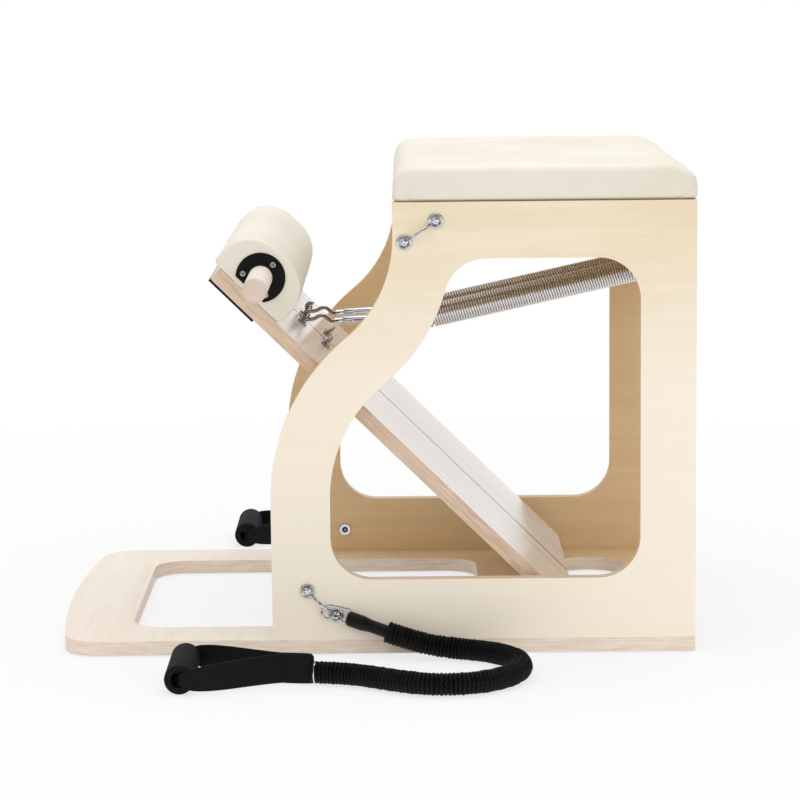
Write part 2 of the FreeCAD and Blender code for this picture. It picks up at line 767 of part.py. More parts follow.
def pedal_screw_shapes(name, side):
    """Hinge, eye, core and end plate screws of one pedal, in the pedal's own frame."""
    low, high = pedal_span(side)
    shapes = [placed(s, flip) for s in leaf_screws(-hinge_y[name])]
    shapes += [placed(s, p) for p in pedal_eye_places(side) for s in eye_screws]
    core_screw = wood_screw(dim.pedal_thickness + dim.core_screw_bite)
    shapes += [aimed(core_screw, (dowel_x, low + share * (high - low), pin_rise), (0, 0, -1))
               for share in (0.25, 0.75)]
    plate_screw = screw(dim.plate_screw_radius, dim.plate_screw_head_radius, dim.plate_screw_head_height,
                        dim.plate_screw_length)
    face_y = side * (pedal_half + dim.plate_thickness)
    for angle in (90, 210, 330):
        spot = polar((dowel_x, dowel_z), dim.plate_screw_circle, angle)
        shapes.append(aimed(plate_screw, (spot.x, face_y, spot.y), (0, side, 0)))
    return shapes


def pedal_eye_places(side):
    places = []
    for level in LEVELS:
        spot = V(-eye_stations[level], side * eye_sides[level], pedal_top)
        places.append(FreeCAD.Placement(spot, FreeCAD.Rotation()))
    return places


def pedal_plate(side):
    """The end plate: a disc with a chord cut off below and a hole for the dowel."""
    outline = core_outline(dim.plate_radius, dowel_z - dim.plate_chord_drop)
    start = side * pedal_half if side > 0 else -pedal_half - dim.plate_thickness
    return prism(outline, start, dim.plate_thickness).cut(dowel_tool)


def pedal_pad(side, low, high):
    """Foam with rolled ends, hollow round its wooden core."""
    solid = prism(pad_outline(), low, high - low)
    solid = solid.makeFillet(dim.pad_end_radius, end_edges(solid, low) + end_edges(solid, high))
    hollow = prism(core_outline(dim.core_radius + dim.core_fit, pedal_top), low, high - low)
    return solid.cut(hollow)


def make_pedal(name, side):
    low, high = pedal_span(side)
    board_loop = rounded_rectangle(-dim.pedal_length, low, 0, high, dim.pedal_corner_radius)
    blank = body_with_pad(name + "_pedal_blank", "XY_Plane", [board_loop], "pedal_thickness")
    blank.Placement = pedal_frame.multiply(FreeCAD.Placement(V(0, 0, pin_rise), FreeCAD.Rotation()))
    screws = Part.makeCompound(pedal_screw_shapes(name, side))
    screw_node = node(feature(name + "_pedal_screws", screws, pedal_frame), name + "_pedal_screws")
    node(bored(name + "_pedal_board", blank, [screw_node]), name + "_pedal_board")

    leaf = placed(hinge_leaf(-hinge_y[name], 1, dim.pin_radius + dim.pin_running_gap), flip)
    core = prism(core_outline(dim.core_radius, pedal_top), low, high - low).cut(dowel_tool)
    bumper = Part.makeBox(dim.bumper_length, high - low, dim.bumper_thickness,
                          V(-dim.pedal_length, low, pin_rise - dim.bumper_thickness))
    eyes = Part.makeCompound([placed(eye, p) for p in pedal_eye_places(side)])
    for label, shape in ((name + "_hinge_leaf", leaf.cut(screws)),
                         (name + "_pad_core", core.cut(screws)),
                         (name + "_pad_end_plate", pedal_plate(side).cut(screws)),
                         (name + "_pedal_pad", pedal_pad(side, low, high)),
                         (name + "_bumper_strip", bumper.cut(screws)),
                         (name + "_pad_eyes", eyes)):
        node(feature(label, shape, pedal_frame), label)


for name, side in SIDES.items():
    make_pedal(name, side)

dowel_end = dim.dowel_radius * 0.2
dowel = turned([(0, 0), (dim.dowel_radius - dowel_end, 0), (dim.dowel_radius, dowel_end),
                (dim.dowel_radius, dim.dowel_length - dowel_end),
                (dim.dowel_radius - dowel_end, dim.dowel_length), (0, dim.dowel_length)])
dowel = aimed(dowel, (dowel_x, -dim.dowel_length / 2, dowel_z), (0, 1, 0))
node(feature("link_dowel", dowel, pedal_frame), "link_dowel")


# Springs: each has a hook on the pedal's upper eye, whose rod enters the coil's front cap at a knee,
# the coil, and a tail hooked on the rail's eye. The lower eyes are spare.

def biarc(start, start_way, end, end_way):
    """Two arcs that leave one point and reach another along given directions."""
    across = end - start
    ways = start_way + end_way
    fall = 2 * (1 - start_way.dot(end_way))
    along = across.dot(ways)
    reach = (math.sqrt(along ** 2 + fall * across.dot(across)) - along) / fall
    first = start + start_way * reach
    second = end - end_way * reach
    joint = (first + second) * 0.5
    return [tangent_arc(start, first, joint), tangent_arc(joint, second, end)]


def tangent_arc(start, corner, end):
    """The arc that touches two equal lines from a corner at their far ends."""
    back = (start - corner).normalize()
    ahead = (end - corner).normalize()
    half = back.getAngle(ahead) / 2
    reach = (start - corner).Length
    middle = corner + (back + ahead).normalize() * (reach * (1 - math.sin(half)) / math.cos(half))
    return Part.Arc(start, middle, end).toShape()


def coil_path(length):
    """A helix about Z in half turns, each end running straight for one wire diameter."""
    turns = int(dim.coil_turns)
    rise = length / (2 * math.pi * turns)

    def at(angle):
        return V(coil_radius * math.cos(angle), coil_radius * math.sin(angle), rise * angle)

    def way(angle):
        return V(-coil_radius * math.sin(angle), coil_radius * math.cos(angle), rise).normalize()

    angles = [math.pi * i for i in range(2 * turns + 1)]
    lead = 2 * dim.coil_wire_radius
    edges = [Part.LineSegment(at(0) - way(0) * lead, at(0)).toShape()]
    for a, b in zip(angles, angles[1:]):
        edges += biarc(at(a), way(a), at(b), way(b))
    edges.append(Part.LineSegment(at(angles[-1]), at(angles[-1]) + way(angles[-1]) * lead).toShape())
    return Part.Wire(edges)


def least_gap(path, points_per_turn=16):
    """The least gap between the wire's own turns, measured on points along it."""
    points = path.discretize(Number=int(dim.coil_turns) * points_per_turn)
    nearest = min(a.distanceToPoint(b) for i, a in enumerate(points)
                  for b in points[i + points_per_turn // 2:i + 2 * points_per_turn])
    return nearest - 2 * dim.coil_wire_radius


def curl_wire(start, end, tail_points, bend):
    """An open curl about the origin in X and Z, then straight runs through further points."""
    middle = (start + end) / 2
    spots = [polar((0, 0), curl_radius, a) for a in (start, middle, end)]
    arc = Part.Arc(*(V(p.x, 0, p.y) for p in spots)).toShape()
    last = spots[2]
    path, _ = rounded_path([(last.x, 0, last.y)] + tail_points, bend)
    return Part.Wire([arc] + path.Edges)


def spring_hook(rod_end):
    """Local X along the rod and Z up, with the pedal eye's wire at the origin."""
    low = -dim.hook_offset
    hump = dim.collar_start * 0.5
    run = [(hump * 0.4, 0, -curl_radius), (hump, 0, curl_radius * 0.8), (hump * 1.25, 0, curl_radius * 0.8),
           (hump * 1.75, 0, low), (dim.collar_start + dim.collar_length, 0, low)]
    path = curl_wire(60, 270, run, 1.3 * dim.hook_rod_radius)
    collar_end = dim.collar_start + dim.collar_length
    neck = dim.barrel_radius * 0.8
    shank = turned([(0, dim.collar_start), (dim.collar_radius, dim.collar_start),
                    (dim.collar_radius, collar_end), (neck, collar_end),
                    (dim.barrel_radius, collar_end + 2), (dim.barrel_radius, barrel_end - 2),
                    (neck, barrel_end), (dim.hook_rod_radius, barrel_end),
                    (dim.hook_rod_radius, rod_end), (0, rod_end)])
    return fused([rod(path, dim.hook_rod_radius), aimed(shank, (0, 0, low), (1, 0, 0))])


def spring_cap():
    """The flanged sleeve that the coil's front turns are wound on; Z along the coil from the knee."""
    front = -dim.cap_nose
    flange_end = front + dim.cap_flange_length
    end = front + dim.cap_length
    ease = 0.3 * dim.cap_flange_length
    return turned([(dim.cap_bore_radius, front), (dim.cap_flange_radius - ease, front),
                   (dim.cap_flange_radius, front + ease), (dim.cap_flange_radius, flange_end),
                   (dim.cap_radius, flange_end), (dim.cap_radius, end), (dim.cap_bore_radius, end)])


def spring_tail():
    """A plug in the coil's back turns with a hook over the rail eye's wire, which is at the origin."""
    start = -dim.tail_neck
    path = curl_wire(-120, 90, [(-curl_radius * 1.4, 0, curl_radius), (start * 0.62, 0, 0), (start, 0, 0)],
                     1.3 * dim.hook_rod_radius)
    plug = turned([(0, 0), (dim.hook_rod_radius * 1.4, 0), (dim.cap_radius, -2),
                   (dim.cap_radius, -dim.coil_plug_length), (0, -dim.coil_plug_length)])
    return fused([rod(path, dim.hook_rod_radius), aimed(plug, (start * 0.8, 0, 0), (1, 0, 0))])


def spring_points(side):
    """The pedal eye's wire, the knee where the slack spring hangs below the straight line, the rail eye's."""
    eye_at = pedal_frame.multVec(V(-eye_stations["upper"], side * dim.spring_y, pedal_top + eye_rise))
    anchor_at = V(rail_front - eye_rise, eye_at.y, anchor_level)
    ahead = (anchor_at - eye_at).normalize()
    below = V(ahead.z, 0, -ahead.x)
    return eye_at, eye_at + ahead * dim.knee_reach + below * dim.knee_sag, anchor_at


def leaning(spot, across, offset=0):
    """A place at a spot with X along a line that runs to the far end of across, an offset below the spot."""
    angle = math.atan2(across.z, across.x) + math.asin(offset / across.Length)
    return FreeCAD.Placement(spot, FreeCAD.Rotation(V(0, 1, 0), -math.degrees(angle)))


def make_spring(name, side):
    eye_at, knee_at, anchor_at = spring_points(side)
    to_knee = knee_at - eye_at
    to_anchor = anchor_at - knee_at
    rod_end = math.sqrt(to_knee.Length ** 2 - dim.hook_offset ** 2) + dim.rod_reach
    coil_length = to_anchor.Length - 0.8 * dim.tail_neck - coil_start - 2 * dim.coil_wire_radius
    coil_wire = coil_path(coil_length)
    coil = rod(coil_wire, dim.coil_wire_radius)
    coil.translate(V(0, 0, coil_start))
    along = FreeCAD.Placement(V(0, 0, 0), FreeCAD.Rotation(V(0, 0, 1), V(1, 0, 0)))
    at_knee = leaning(knee_at, to_anchor).multiply(along)
    for piece, shape, place in (("hook", spring_hook(rod_end), leaning(eye_at, to_knee, dim.hook_offset)),
                                ("cap", spring_cap(), at_knee),
                                ("coil", coil, at_knee),
                                ("tail", spring_tail(), leaning(anchor_at, to_anchor))):
        label = f"{name}_upper_spring_{piece}"
        node(feature(label, placed(shape, place)), label)
    print(f"{name} spring: least gap {least_gap(coil_wire):.2f}, coil length {coil_length:.1f}")


for name, side in SIDES.items():
    make_spring(name, side)


# Resistance tubes: link, boot, ribbed tube on the floor, sewn strap and grip

def quick_link(wire_radius):
    """A long round-ended ring in X and Z about the origin."""
    bend = dim.link_width / 2 - dim.link_wire_radius
    straight = dim.link_length - dim.link_width
    pieces = []
    for end in (-1, 1):
        centre = V(end * straight / 2, 0, 0)
        pieces.append(Part.makeTorus(bend, wire_radius, centre, V(0, 1, 0)))
        pieces.append(Part.makeCylinder(wire_radius, straight, V(-straight / 2, 0, end * bend), V(1, 0, 0)))
    inside = Part.makeBox(straight, 4 * wire_radius, 2 * (bend - wire_radius),
                          V(-straight / 2, -2 * wire_radius, wire_radius - bend))
    return fused(pieces).cut(inside)


# Each tube's route after its boot: it drops to the floor, turns back and ends at its strap. Points are
# measured back from the panel's front foot, out from the panel's face and up from the floor.
ROUTES = {
    "left": [(185, 26, 20), (229, 31, 14.3), (274, 51, 14.3), (305, 90, 14.3), (309, 138, 14.3),
             (288, 182, 14.3), (249, 211, 14.3), (201, 217, 14.3), (158, 197, 14.3), (121, 170, 14.3),
             (88, 154, 14.3), (53, 148, 14.3)],
    "right": [(185, 26, 20), (229, 31, 14.3), (272, 54, 14.3), (302, 96, 14.3), (310, 147, 14.3),
              (294, 195, 14.3), (255, 229, 14.3), (207, 243, 14.3), (163, 228, 14.3), (127, 203, 14.3),
              (87, 184, 14.3)],
}
GRIP_SPOTS = {"left": (-103, 139), "right": (-69, 175)}


def beside_panel(side, back, out, up=0):
    """A point measured from the front foot of a panel's outer face."""
    return V(foot_front + back, side * (half_width + out), up)


def stations(path, distances):
    """Points and directions at distances along a wire."""
    edges = path.OrderedEdges
    found = []
    start = 0.0
    pending = list(distances)
    for index, edge in enumerate(edges):
        last = index == len(edges) - 1
        while pending and (pending[0] <= start + edge.Length or last):
            inside = min(pending[0] - start, edge.Length)
            parameter = edge.getParameterByLength(inside)
            found.append((edge.valueAt(parameter), edge.tangentAt(parameter)))
            pending.pop(0)
        start += edge.Length
    return found


def ring_at(spot, way, radius):
    """A circle square to a path, with its own X axis kept upright."""
    upright = (V(0, 0, 1) - way * way.z).normalize()
    circle = Part.makeCircle(radius)
    side_way = way.cross(upright)
    turn = FreeCAD.Rotation(upright, side_way, way, "XZY")
    circle.Placement = FreeCAD.Placement(spot, turn)
    return Part.Wire(circle)


def ribbed_tube(path):
    """A gathered sleeve: ruled rings between crests and valleys, with a bore right through."""
    ribs = int(dim.tube_ribs)
    lead = 2 * dim.tube_crest_radius
    pitch = (path.Length - 2 * lead) / ribs
    marks = [(0.0, dim.tube_valley_radius)]
    for rib in range(ribs):
        start = lead + rib * pitch
        marks += [(start, dim.tube_valley_radius), (start + 0.3 * pitch, dim.tube_crest_radius),
                  (start + 0.55 * pitch, dim.tube_crest_radius),
                  (start + 0.85 * pitch, dim.tube_valley_radius)]
    marks.append((path.Length, dim.tube_valley_radius))
    spots = stations(path, [distance for distance, _ in marks])
    rings = [ring_at(spot, way, radius) for (spot, way), (_, radius) in zip(spots, marks)]
    sleeve = Part.makeLoft(rings, True, True)
    return sleeve.cut(rod(path, dim.tube_bore_radius))


def handle_strap(grip_x, grip_y, tab_start, tab_way):
    """Webbing on edge: a sewn tab, two legs that bend round the grip's ends, a narrow run in its bore."""
    half_web = dim.web_thickness / 2
    reach = dim.grip_length / 2 + dim.web_grip_gap + half_web
    tab_end = tab_start + tab_way * dim.web_tab_length
    shoulder = grip_x + dim.grip_radius + dim.web_thickness
    corners = [(tab_end.x, tab_end.y), (shoulder, grip_y + reach), (grip_x, grip_y + reach),
               (grip_x, grip_y - reach), (shoulder, grip_y - reach)]
    loop = Part.makePolygon([flat(*p) for p in corners + corners[:1]])
    band = Part.Face(loop.makeOffset2D(half_web)).cut(Part.Face(loop.makeOffset2D(-half_web)))
    band = band.extrude(V(0, 0, dim.web_width))
    run = 2 * (reach - half_web)
    around = Part.makeBox(2 * dim.web_thickness, run, dim.web_width,
                          V(grip_x - dim.web_thickness, grip_y - run / 2, 0))
    threaded = Part.makeBox(dim.web_thickness, 2 * reach, dim.grip_web_width,
                            V(grip_x - half_web, grip_y - reach, dim.grip_radius - dim.grip_web_width / 2))
    tab = Part.makeBox(dim.web_tab_length + 2 * dim.web_thickness, dim.web_tab_thickness, dim.web_width,
                       V(0, -dim.web_tab_thickness / 2, 0))
    tab.Placement = FreeCAD.Placement(flat(tab_start.x, tab_start.y), FreeCAD.Rotation(V(1, 0, 0), tab_way))
    strap_solid = fused([band.cut(around), threaded, tab])
    strap_solid.translate(V(0, 0, dim.tube_floor_gap))
    return strap_solid


links = []
boots = []
inner_tubes = []
end_rings = []
grips = []
cores = []
web_straps = []
link_turn = FreeCAD.Rotation(V(0, 1, 0), -dim.link_angle)
link_off = dim.eyelet_thickness + dim.strap_bolt_head_height + dim.link_gap + dim.link_wire_radius
strap_end = polar(strap_spots["lower"], dim.strap_span / 2, dim.lower_strap_angle)
for name, side in SIDES.items():
    link_spot = V(strap_end.x + dim.link_shift_x, side * (half_width + link_off),
                  strap_end.y + dim.link_shift_z)
    link_place = FreeCAD.Placement(link_spot, link_turn)
    links.append(placed(quick_link(dim.link_wire_radius), link_place))

    route = [beside_panel(side, *p) for p in ROUTES[name]]
    link_tip = link_place.multVec(V(dim.link_length / 2, 0, 0))
    boot_off = dim.boot_radius + dim.boot_panel_gap
    boot_start = V(link_tip.x - dim.boot_end_radius, side * (half_width + boot_off), link_tip.z)
    boot_way = (route[0] - boot_start).normalize()
    tube_start = boot_start + boot_way * dim.boot_length
    boot = turned([(0, 0), (dim.boot_radius * 0.7, 0), (dim.boot_radius, dim.boot_radius * 0.4),
                   (dim.boot_radius, dim.boot_length * 0.4), (dim.boot_end_radius, dim.boot_length * 0.6),
                   (dim.boot_end_radius, dim.boot_length), (0, dim.boot_length)])
    boot = aimed(boot, tuple(boot_start), tuple(boot_way))
    boots.append(boot.cut(placed(quick_link(dim.link_wire_radius + dim.hook_gap), link_place)))

    path, radii = rounded_path([tube_start] + route)
    tube = ribbed_tube(path)
    node(feature(name + "_tube_sleeve", tube), name + "_tube_sleeve")
    inner_tubes.append(rod(path, dim.tube_bore_radius - dim.tube_core_gap))
    mean = math.pi * (dim.tube_valley_radius ** 2 - dim.tube_bore_radius ** 2) * path.Length
    print(f"{name} sleeve: length {path.Length:.0f}, radii {min(radii):.0f} to {max(radii):.0f}, "
          f"volume {tube.Volume / mean:.2f} of its valley section times its length")

    tab_way = (route[-1] - route[-2]).normalize()
    end_rings.append(Part.makeTorus(dim.tube_valley_radius + dim.ring_fit + dim.ring_wire_radius,
                                    dim.ring_wire_radius, route[-1] - tab_way * dim.ring_setback, tab_way))
    grip_at = beside_panel(side, *GRIP_SPOTS[name])
    web_straps.append(handle_strap(grip_at.x, grip_at.y, route[-1], tab_way))
    grip_start = (grip_at.x, grip_at.y - dim.grip_length / 2, dim.grip_radius + dim.tube_floor_gap)
    ease = 0.15 * dim.grip_radius
    grip = turned([(dim.grip_core_radius, 0), (dim.grip_radius - ease, 0), (dim.grip_radius, ease),
                   (dim.grip_radius, dim.grip_length - ease), (dim.grip_radius - ease, dim.grip_length),
                   (dim.grip_core_radius, dim.grip_length)])
    core_tube = turned([(dim.grip_bore_radius, 0), (dim.grip_core_radius, 0),
                        (dim.grip_core_radius, dim.grip_length), (dim.grip_bore_radius, dim.grip_length)])
    grips.append(aimed(grip, grip_start, (0, 1, 0)))
    cores.append(aimed(core_tube, grip_start, (0, 1, 0)))

for label, shapes in (("cord_links", links), ("tube_boots", boots), ("elastic_tubes", inner_tubes),
                      ("tab_rings", end_rings), ("handle_straps", web_straps), ("handle_grips", grips),
                      ("grip_cores", cores)):
    node(feature(label, Part.makeCompound(shapes)), label)


# Every object has to be sound before any file is written

doc.recompute()
for obj in doc.Objects:
    if "Invalid" in obj.State or "Error" in obj.State:
        raise RuntimeError(f"{obj.Label} did not compute")
for obj in nodes:
    if obj.Shape.isNull() or not obj.Shape.isValid() or not obj.Shape.Solids:
        raise RuntimeError(f"{obj.Label} has no sound shape")

os.makedirs("parts", exist_ok=True)
for obj in nodes:
    obj.Shape.exportStep(f"parts/{obj.Label}.step")
print(f"{len(nodes)} nodes, {sum(len(obj.Shape.Solids) for obj in nodes)} solids")
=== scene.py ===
# %% [markdown]
# # A split-pedal exercise chair
#
# The chair is plywood: a low base, two side panels with an S-shaped front edge, a padded seat,
# and two sprung pedals that a dowel joins. Two elastic tubes with handles lie on the floor.
# The engineering model comes in first, as a fixed frame. What is hard and already has its true
# shape only gets a finish here. What is soft or wound is built again as a finer mesh.

# %% Load the frame
import math
import random

import bmesh
import bpy
import numpy as np
from mathutils import Matrix, Vector


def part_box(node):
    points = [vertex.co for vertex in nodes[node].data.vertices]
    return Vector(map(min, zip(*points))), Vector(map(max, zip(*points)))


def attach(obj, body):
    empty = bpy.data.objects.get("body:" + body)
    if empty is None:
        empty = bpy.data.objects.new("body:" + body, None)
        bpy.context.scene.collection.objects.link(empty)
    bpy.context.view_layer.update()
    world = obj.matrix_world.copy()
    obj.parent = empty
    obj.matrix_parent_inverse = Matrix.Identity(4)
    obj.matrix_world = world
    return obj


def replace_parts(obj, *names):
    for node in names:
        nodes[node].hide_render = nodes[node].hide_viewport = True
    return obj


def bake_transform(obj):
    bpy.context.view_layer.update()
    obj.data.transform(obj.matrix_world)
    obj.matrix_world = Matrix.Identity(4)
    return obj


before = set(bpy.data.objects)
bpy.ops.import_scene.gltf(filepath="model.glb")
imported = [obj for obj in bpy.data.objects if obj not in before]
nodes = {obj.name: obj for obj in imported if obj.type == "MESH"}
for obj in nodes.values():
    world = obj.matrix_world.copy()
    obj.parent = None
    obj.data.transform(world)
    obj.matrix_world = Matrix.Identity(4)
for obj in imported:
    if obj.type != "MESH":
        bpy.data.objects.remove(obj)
scene = bpy.context.scene


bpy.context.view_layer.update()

# %% [markdown]
# ## Camera
#
# The picture is taken from the chair's left side, from a little above the seat and through a long
# lens, so far edges are only slightly smaller than near ones. A shifted lens would keep the
# uprights exactly parallel, but it would also push the chair out of every other view. A camera
# that is tilted down by a few degrees comes within some pixels of it.

# %% Camera
CAMERA_PLACE = (0.0499, -3.9431, 0.8683)
CAMERA_PITCH = 8.491
CAMERA_YAW = -0.193
CAMERA_ROLL = -0.574
CAMERA_LENS = 134.1


def place_camera():
    data = bpy.data.cameras.new("photo_camera")
    data.sensor_width = 36
    data.lens = CAMERA_LENS
    data.clip_end = 60
    camera = bpy.data.objects.new("photo_camera", data)
    turn = (Matrix.Rotation(math.radians(-CAMERA_YAW), 4, "Z")
            @ Matrix.Rotation(math.radians(90 - CAMERA_PITCH), 4, "X")
            @ Matrix.Rotation(math.radians(CAMERA_ROLL), 4, "Z"))
    camera.matrix_world = Matrix.Translation(CAMERA_PLACE) @ turn
    scene.collection.objects.link(camera)
    scene.camera = camera
    return camera


print("camera", place_camera().name, "lens", CAMERA_LENS)

# %% [markdown]
# ## Shader sums
#
# Node trees are long to write out by hand. A small class wraps a socket, so that a sum written in
# Python becomes Math nodes, and one method adds any other node.

# %% Shader sums


def tint(code):
    """A written colour, such as e8d8b8, in the linear values that shaders use."""
    parts = [int(code[i:i + 2], 16) / 255 for i in (0, 2, 4)]
    linear = [p / 12.92 if p <= 0.04045 else ((p + 0.055) / 1.055) ** 2.4 for p in parts]
    return (*linear, 1.0)


class Sum:
    """A socket's value; its operators add Math nodes."""

    def __init__(self, finish, socket):
        self.finish = finish
        self.socket = socket

    def _math(self, operation, *terms):
        inputs = dict(enumerate(terms))
        return self.finish.add("ShaderNodeMath", {"operation": operation}, inputs)

    def __add__(self, other):
        return self._math("ADD", self, other)

    def __sub__(self, other):
        return self._math("SUBTRACT", self, other)

    def __rsub__(self, other):
        return self._math("SUBTRACT", other, self)

    def __mul__(self, other):
        return self._math("MULTIPLY", self, other)

    def __lt__(self, other):
        return self._math("LESS_THAN", self, other)

    def __gt__(self, other):
        return self._math("GREATER_THAN", self, other)

    def __abs__(self):
        return self._math("ABSOLUTE", self)

    def part(self):
        """What is left after the whole number."""
        return self._math("FRACT", self)

    def wave(self):
        return self._math("SINE", self)

    def most(self, other):
        return self._math("MAXIMUM", self, other)

    def least(self, other):
        return self._math("MINIMUM", self, other)

    __radd__ = __add__
    __rmul__ = __mul__


print("mid grey in linear light", round(tint("808080")[0], 3))


# %% Finishes
class Finish:
    """A material on one Principled shader."""

    def __init__(self, name, **values):
        self.material = bpy.data.materials.new(name)
        self.material.use_nodes = True
        self.tree = self.material.node_tree
        self.shader = self.tree.nodes["Principled BSDF"]
        for socket, value in values.items():
            self.feed(self.shader, socket.replace("_", " ").title(), value)

    def feed(self, node, socket, value):
        """Link a sum to a socket, or set the socket's own value."""
        target = node.inputs[socket]
        if isinstance(value, Sum):
            self.tree.links.new(value.socket, target)
        else:
            target.default_value = value

    def add(self, kind, settings=None, inputs=None, output=0):
        """Any node: its type, its settings, then the values or links of its sockets."""
        node = self.tree.nodes.new(kind)
        for name, value in (settings or {}).items():
            if name == "stops":
                for stop, (place, colour) in zip(ramp_stops(node, len(value)), value):
                    stop.position = place
                    stop.color = colour
            else:
                setattr(node, name, value)
        for socket, value in (inputs or {}).items():
            self.feed(node, socket, value)
        return Sum(self, node.outputs[output])

    def coat(self, socket, value):
        self.feed(self.shader, socket, value)
        return self

    def place(self):
        """Where a point is on the object, in metres."""
        return self.add("ShaderNodeTexCoord", output="Object")

    def facing(self):
        """Which way a point of the object faces."""
        return self.add("ShaderNodeTexCoord", output="Normal")

    def dot(self, vector, way):
        settings = {"operation": "DOT_PRODUCT"}
        return self.add("ShaderNodeVectorMath", settings, {0: vector, 1: way}, output="Value")

    def noise(self, vector, scale=1.0, detail=3.0, rough=0.5):
        inputs = {"Vector": vector, "Scale": scale, "Detail": detail, "Roughness": rough}
        return self.add("ShaderNodeTexNoise", None, inputs)

    def drawn_out(self, values, rates, detail, rough=0.5):
        """Noise over three sums, each at its own rate, so that it is long one way."""
        inputs = {i: value * rate for i, (value, rate) in enumerate(zip(values, rates))}
        return self.noise(self.add("ShaderNodeCombineXYZ", None, inputs), 1.0, detail, rough)

    def ramp(self, value, *stops):
        return self.add("ShaderNodeValToRGB", {"stops": stops}, {"Fac": value})

    def two_tone(self, value, low, high, tones):
        """From a deep tone to a pale one as a value rises."""
        return self.ramp(value, (low, tint(tones[0])), (high, tint(tones[1])))

    def mix(self, share, first, second):
        """One colour over another."""
        inputs = {0: share, 6: first, 7: second}
        return self.add("ShaderNodeMix", {"data_type": "RGBA"}, inputs, output=2)

    def bump(self, height, distance, strength=1.0):
        inputs = {"Height": height, "Distance": distance, "Strength": strength}
        self.coat("Normal", self.add("ShaderNodeBump", None, inputs))
        return self


def ramp_stops(node, count):
    """A ramp's stops, made up to a count."""
    stops = node.color_ramp.elements
    while len(stops) < count:
        stops.new(1.0)
    return stops


print("a finish can", ", ".join(name for name in vars(Finish) if not name.startswith("_")))

# %% [markdown]
# ## Plywood
#
# The boards are maple or birch plywood under a clear lacquer. A face shows long, faint grain, and a
# cut edge shows the layers as thin stripes. Both come from one material: the object's own normal
# says whether a point is on a face or an edge, and the depth through the board gives the layers.
# Some light and shade are painted into the same colour as well. The panels are paler towards the floor.
# The base is darker and warmer under the chair, as are the panels' inner faces. The gap between the pedals
# has a painted shadow.

# %% Plywood
PLY_LAYER = 0.00257
PLY_WOBBLE = 0.14
GLUE_LINE = 0.84
FACE_EDGE_TURN = 0.6
# The most that painted light and shade cover of the veneer's own tone.
LIGHT_FADE_MOST = 0.8
# The tone of the painted shadow in the gap between the pedals, and how much of it covers the wood.
GAP_SHADE_TONE = "4a3524"
GAP_SHADE_SHARE = 0.9
STREAK_RATES = (3.2, 46.0, 20.0)
PORE_RATES = (60.0, 900.0, 300.0)
FIBRE_RATES = (5.7, 24.0, 24.0)
GRAIN_STOPS = (0.36, 0.62)
LAYER_STOPS = (0.34, 0.66)


def plywood(name, through, along, face_tones, edge_tones, inside=None, gloss=0.36, gap_shade=0.0, light_fade=None):
    """A board with faces across one direction and grain along another.

    Tones run from deep to pale, and an edge's last one is its glue. inside gives the way that an inner
    face looks, with the tones of its painted shade and warm bounced light. gap_shade is how far from the
    middle a painted shadow of the gap between the pedals reaches. light_fade is a way, a start along it, a
    rate and the tone that painted light and shade lay over the veneer from there on.
    """
    finish = Finish(name)
    spot = finish.place()
    through = Vector(through).normalized()
    along = Vector(along).normalized()
    across = through.cross(along)
    depth = finish.dot(spot, tuple(through))
    run = finish.dot(spot, tuple(along))
    width = finish.dot(spot, tuple(across))
    streaks = finish.drawn_out((run, width, depth), STREAK_RATES, 5.0, 0.6)
    pores = finish.drawn_out((run, width, depth), PORE_RATES, 2.0)
    cloud = finish.noise(spot, 4.0, 2.0)
    grain = streaks * 0.62 + pores * 0.16 + cloud * 0.22
    face = finish.two_tone(grain, *GRAIN_STOPS, face_tones)
    # Painted light and shade: from a start along a way, the veneer's tone goes over to a paler or darker
    # one.
    if light_fade:
        way, start, rate, tone = light_fade
        share = ((finish.dot(spot, way) - start) * rate).most(0.0).least(LIGHT_FADE_MOST)
        face = finish.mix(share, face, tint(tone))
    # Faces turned into the chair get darker, warmer tones: painted shade and warm bounced light.
    if inside:
        in_inner_shade = finish.dot(finish.facing(), inside[0]) > FACE_EDGE_TURN
        face = finish.mix(in_inner_shade, face, finish.two_tone(grain, *GRAIN_STOPS, inside[1]))
    wobble = finish.noise(spot, 26.0, 2.0)
    level = depth * (1 / PLY_LAYER) + wobble * PLY_WOBBLE
    from_middle = abs(level.part() - 0.5) * 2.0
    sheet = level - level.part()
    fibres = finish.drawn_out((sheet, run, width), FIBRE_RATES, 3.0)
    layers = finish.two_tone(fibres, *LAYER_STOPS, edge_tones)
    glue = (from_middle > GLUE_LINE) * (finish.noise(spot, 90.0, 2.0) * 0.9)
    edge = finish.mix(glue, layers, tint(edge_tones[2]))
    turned_away = abs(finish.dot(finish.facing(), tuple(through))) < FACE_EDGE_TURN
    colour = finish.mix(turned_away, face, edge)
    # A painted shadow of the gap between the pedals, along their inner edges.
    if gap_shade:
        in_gap_shade = abs(finish.dot(spot, (0.0, 1.0, 0.0))) < gap_shade
        colour = finish.mix(in_gap_shade * GAP_SHADE_SHARE, colour, tint(GAP_SHADE_TONE))
    finish.coat("Base Color", colour)
    finish.coat("Roughness", gloss + turned_away * 0.2 + streaks * 0.1)
    finish.bump(pores * 0.6 + streaks * 0.4, 0.0004, 0.25)
    return finish.material


print("plywood layer", PLY_LAYER * 1000, "mm")

# %% Boards
SIDES = {"left": -1, "right": 1}
PEDAL_ANGLE = math.radians(44.6)
PEDAL_NORMAL = (math.sin(PEDAL_ANGLE), 0.0, math.cos(PEDAL_ANGLE))
PEDAL_RUN = (-math.cos(PEDAL_ANGLE), 0.0, math.sin(PEDAL_ANGLE))
# How far from the middle the pedals' inner edges are painted dark, as the shadow in the gap between them.
PEDAL_GAP_SHADE = 0.0045
